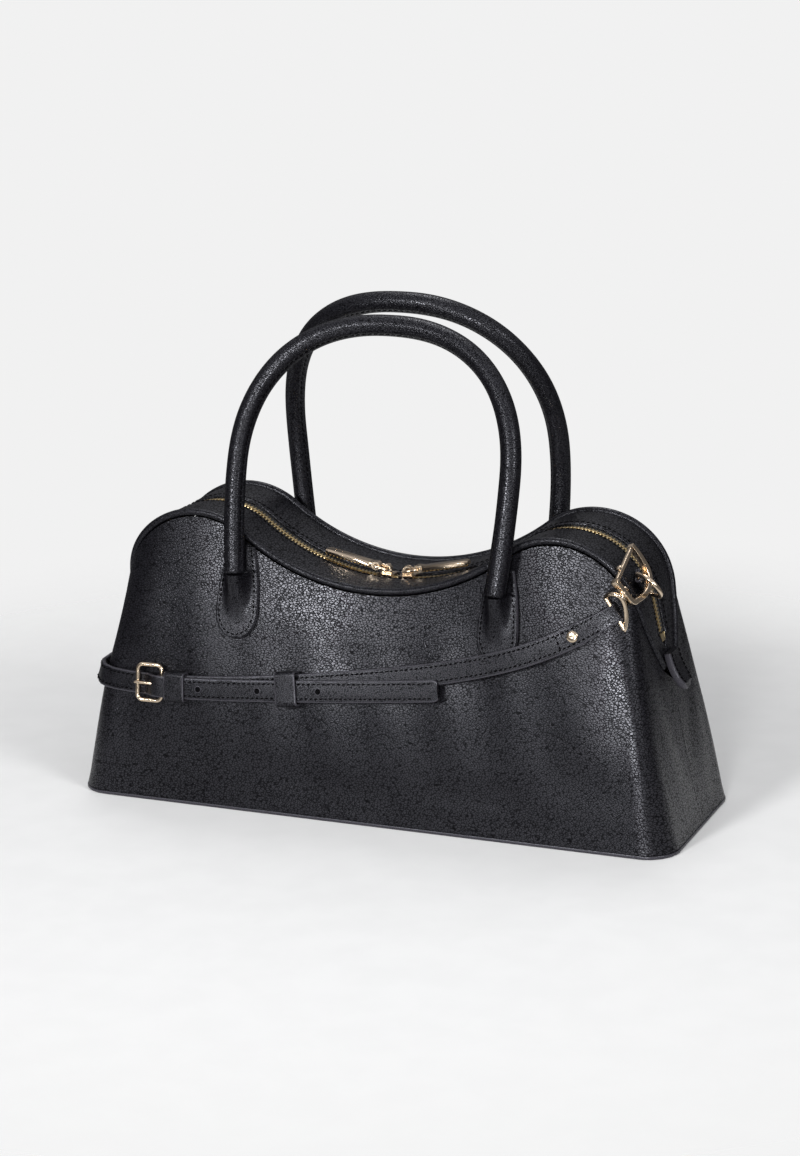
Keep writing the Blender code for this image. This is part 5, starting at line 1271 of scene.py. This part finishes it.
def dress_ring(side, place, put_at):
    """The D-ring: round wire along a straight bar and a half circle, held by a folded leather tab."""
    run = np.array(place + RING_ALONG)
    _, out = outline(run)
    along = np.cross(Y_AXIS, out)
    bar = gusset_point(run, -half_depth(run) + RING_INSET, RING_LIFT)
    across, away = circle(HOOK_TURN, along, Y_AXIS), circle(HOOK_TURN, -Y_AXIS, along)
    reach = circle(RING_LEAN, away, out)
    wide, bend = RING_HALF_WIDTH, RING_HALF_WIDTH / 4
    bow = arc(np.linspace(0, math.pi, 25), wide) + (0, RING_LENGTH - wide)
    low = [(-wide, bend), (bend - wide, 0), (wide - bend, 0), (wide, bend)]
    flat = evenly(np.concatenate([low, bow]), 90, closed=True)
    wire = tube(laid(bar, flat, across, reach), RING_WIRE, np.cross(across, reach), 14, True)
    brass(f"d_ring_{side}_wire", "d_ring_" + side, wire, place=put_at)
    half = RING_TAB_LEATHER / 2
    floor = GAP + half - RING_LIFT
    roof = floor + RING_TAB_LEATHER + GAP
    end = -RING_TAB_LENGTH
    turned = arc(np.linspace(-TAB_WRAP, TAB_WRAP, 25), RING_WIRE + GAP + half)
    flat = np.concatenate([[(end, floor), (end / 2, floor)], turned, [(end / 2, roof + GAP), (end, roof)]])
    path = laid(bar, flat, away, out)
    up = np.cross(np.gradient(path, axis=0), across)
    node = "ring_tab_" + side
    strip(node + "_fold", node, path, RING_TAB_HALF_WIDTH, -half, half, up, 0.0004, place=put_at)
    line = bar + np.linspace(0.75, 0.25, 7)[:, None] * end * away + (roof + half + 0.0002) * out
    beside = (RING_TAB_HALF_WIDTH - 0.0012) * across
    outs = put_at(np.tile(out, (7, 1)))
    stitches(node + "_stitches", node, *((put_at(line + s * beside), outs, RING_TAB_STITCH) for s in (1, -1)))


def dress_hook(side, place, put_at):
    """The snap hook: a flat bar along the hook's line, pin heads, and a gate with a thumb button."""
    base, across, reach, out = hook_place(place)
    flat = evenly(smooth_path(np.array(HOOK_LINE) * (HOOK_HALF_WIDTH, HOOK_LENGTH), 12), 110)
    path = laid(base, flat, across, reach)
    width = HOOK_HALF_SIDE * (1 - 0.22 * portion(np.linspace(0, 1, len(path)) - 0.75, 0.25))
    bar, _ = ribbon(path, width, -HOOK_HALF_THICKNESS, HOOK_HALF_THICKNESS, out, 0.0005)
    pivot = np.array([-HOOK_HALF_WIDTH + HOOK_HALF_SIDE, GAP])
    turn = turns(24)
    levels = HOOK_HALF_THICKNESS + np.array([-0.0002, 0.00025, 0.0004, 0.00045])
    centre, wheel = base + pivot[0] * across + pivot[1] * reach, 0.0013 * circle(turn, across, reach)
    heads = [lathe(centre, wheel, way * out, [1.0, 1.0, 0.8, 0.1], levels) for way in (1, -1)]
    collar = lathe(base, 0.0024 * circle(turn, across, out), -HOOK_HALF_SIDE * reach,
                   [0.8, 1.0, 1.0, 0.82], [0.4, 0.75, 1.35, 1.6])
    brass(f"hook_{side}_bar", "hook_" + side, joined(bar, *heads, collar), 50, put_at)
    half = GATE_HALF_SIDE
    tip_reach = HOOK_LENGTH * HOOK_LINE[-1][1] - HOOK_HALF_SIDE - GAP
    line = np.linspace(0, 1, 24)[:, None]
    path = base + pivot[0] * across + (pivot[1] * (1 - line) + tip_reach * line) * reach
    gate, _ = ribbon(path, half, -half, half, out, 0.0004)
    knob = base + (pivot[0] - half) * across + 0.36 * tip_reach * reach
    button = lathe(knob, 0.0013 * circle(turn, reach, out), -across, [0.9, 0.9, 1.15, 1.15, 0.8, 0.1],
                   [0, 0.0008, 0.001, 0.0015, 0.0018, 0.0019])
    brass(f"hook_gate_{side}_bar", "hook_gate_" + side, joined(gate, button), 50, put_at)


def dress_eye(side, place, bar, width, put_at):
    """The swivel eye: round wire in a rounded triangle, its post through the hook and a turned head."""
    base, across, reach, out = hook_place(place)
    top = base - POST_REACH * reach
    turn = np.linspace(0, math.pi, 41)[:, None]
    rise = np.sin(turn) ** 0.9
    blend = (1 - rise) * width + rise * across * np.sign(np.dot(across, width))
    arch = bar + rise * (top - bar) + EYE_HALF_WIDTH * np.cos(turn) * (1 - 0.25 * rise) * unit(blend)
    path = evenly(np.concatenate([arch, bar[None]]), 90, closed=True)
    wire = tube(path, EYE_WIRE, unit(np.cross(width, top - bar)), 14, True)
    far = POST_REACH + HOOK_HALF_SIDE
    levels = [-0.0006, 0.0004, 0.0012, POST_REACH - HOOK_HALF_SIDE - 0.0006, far + GAP, far + GAP,
              far + POST_HEAD, far + POST_HEAD + 0.0003]
    radii = [0.0012, 0.0017, 0.0013, POST_RADIUS, POST_RADIUS, POST_HEAD_RADIUS, POST_HEAD_RADIUS * 0.95, 0.0006]
    post = lathe(top, circle(turns(24), across, out), reach, radii, levels)
    brass(f"hook_eye_{side}_wire", "hook_eye_" + side, joined(wire, post), 50, put_at)


def dress():
    dress_panels()
    dress_base()
    dress_piping()
    dress_gussets()
    dress_zip()
    refined("lining", LINING_LOOK, 0, "lining", dissolve=0.1)
    for side, sign in ENDS:
        dress_tab(side, sign)
        dress_slider(side, sign)
    for name, side, place in FACES:
        dress_handle(name, side)
        for end, sign in ENDS:
            dress_patch(f"{name}_patch_{end}", sign, place)
    dress_hook_strap()
    dress_hole_strap()
    dress_buckle()
    high = KEEPER_LIFT + KEEPER_LEATHER + 2 * (STRAP_LEATHER + GAP) + GAP
    dress_keeper("keeper_fixed", FIXED_KEEPER, KEEPER_LIFT, high, 2)
    high = STRAP_LIFT + 2 * (STRAP_LEATHER + 2 * GAP)
    dress_keeper("keeper_loose", LOOSE_KEEPER, STRAP_LIFT - 2 * GAP - KEEPER_LEATHER, high, 4)
    for side, place, put_at in (("right", RIGHT_HOOK_PLACE, np.asarray), ("left", LEFT_HOOK_PLACE, back)):
        dress_ring(side, place, put_at)
        dress_hook(side, place, put_at)
    eye, _, width, _ = strap_frame(HOOK_ROUTE, EYE_PLACE, RIGHT_EYE_LIFT)
    dress_eye("right", RIGHT_HOOK_PLACE, eye, width, np.asarray)
    eye, _, width, _ = left_eye()
    dress_eye("left", LEFT_HOOK_PLACE, eye * (-1, 1, 1), width * (-1, 1, 1), back)


def aim(thing, azimuth, elevation, distance, height, roll=0.0):
    """Puts a lamp or camera round a point on the Z axis, at an azimuth from -Y, looking at that point."""
    azimuth, elevation = math.radians(azimuth), math.radians(elevation)
    way = circle(elevation, circle(azimuth, -Y_AXIS, X_AXIS), Z_AXIS)
    right = unit(np.cross(Z_AXIS, way))
    up = np.cross(way, right)
    matrix = np.eye(4)
    matrix[:3, :3] = np.stack([circle(roll, right, up), circle(roll, up, -right), way], axis=1)
    matrix[:3, 3] = height * Z_AXIS + distance * way
    thing.matrix_world = Matrix(matrix.tolist())


def lamp(name, azimuth, elevation, size, power):
    data = bpy.data.lights.new(name, "AREA")
    data.shape = "DISK"
    data.size = size
    data.energy = power
    aim(link(name, data), azimuth, elevation, LAMP_DISTANCE, LAMP_HEIGHT)


def surround():
    """White to the camera, darker low down in reflections, and an even soft light on everything else."""
    world = bpy.data.worlds.new("white surround")
    bpy.context.scene.world = world
    world.use_nodes = True
    tree = Tree(world.node_tree)
    path = tree.put("LightPath", {}, None)
    high = tree.put("SeparateXYZ", {0: tree.place("Generated")}, "Z")
    shown = tree.put("Background", {"Color": (0.88, 0.88, 0.88, 1), "Strength": 1.0})
    strength = tree.ramp(high, 0.25, 0.8, 0.12, 0.6)
    mirror = tree.put("Background", {"Color": (0.88, 0.88, 0.93, 1), "Strength": strength})
    lit = tree.put("Background", {"Color": (0.97, 0.98, 1.0, 1), "Strength": 0.32})
    unseen = tree.put("MixShader", {0: path["Is Glossy Ray"], 1: lit, 2: mirror})
    seen = tree.math("MAXIMUM", path["Is Camera Ray"], path["Is Transmission Ray"])
    tree.close(tree.put("MixShader", {0: seen, 1: unseen, 2: shown}), "OutputWorld")


def lay_floor():
    """A pale round floor that fades into the surround."""
    radii = np.array([0.02, 0.3, 0.9, 1.6, 2.6])[:, None, None]
    rings = radii * circle(turns(96), X_AXIS, Y_AXIS) - 0.0002 * Z_AXIS
    mesh = bpy.data.meshes.new("floor")
    faces = quads(5, 96, close_columns=True).tolist() + [list(range(96))]
    mesh.from_pydata(rings.reshape(-1, 3).tolist(), [], faces)
    floor = link("floor", mesh)
    look, tree = new_look("pale_floor")
    place = tree.place()
    fade = tree.ramp(tree.put("VectorMath", {0: place}, "Value", operation="LENGTH"), 0.22, 0.6)
    tone = tree.ramp(tree.noise(place, 40.0, 3.0), 0.3, 0.7, 0.865, 0.885)
    paint = tree.put("BsdfDiffuse", {"Color": tone, "Roughness": 0.5})
    tree.close(tree.put("MixShader", {0: fade, 1: paint, 2: tree.put("BsdfTransparent", {})}))
    mesh.materials.append(look)


def studio():
    """The surround, the floor, four soft lamps and the camera."""
    surround()
    lay_floor()
    lamp("key", 62, 26, 0.8, 14)
    lamp("fill", -14, 20, 0.45, 23)
    lamp("low", 14, 5, 0.5, 27)
    lamp("top", 200, 66, 0.9, 12)
    data = bpy.data.cameras.new("view")
    data.sensor_fit = "VERTICAL"
    data.sensor_height = SENSOR
    data.lens = CAMERA_FOCUS / IMAGE_TALL * SENSOR
    data.shift_x = (IMAGE_WIDE / 2 - CAMERA_TARGET[0]) / IMAGE_TALL
    data.shift_y = (CAMERA_TARGET[1] - IMAGE_TALL / 2) / IMAGE_TALL
    data.clip_start = 0.05
    camera = link("view", data)
    aim(camera, *CAMERA_PLACE, CAMERA_HEIGHT, math.radians(CAMERA_ROLL))
    bpy.context.scene.camera = camera
    bpy.context.scene.view_settings.view_transform = "Standard"


dress()
studio()
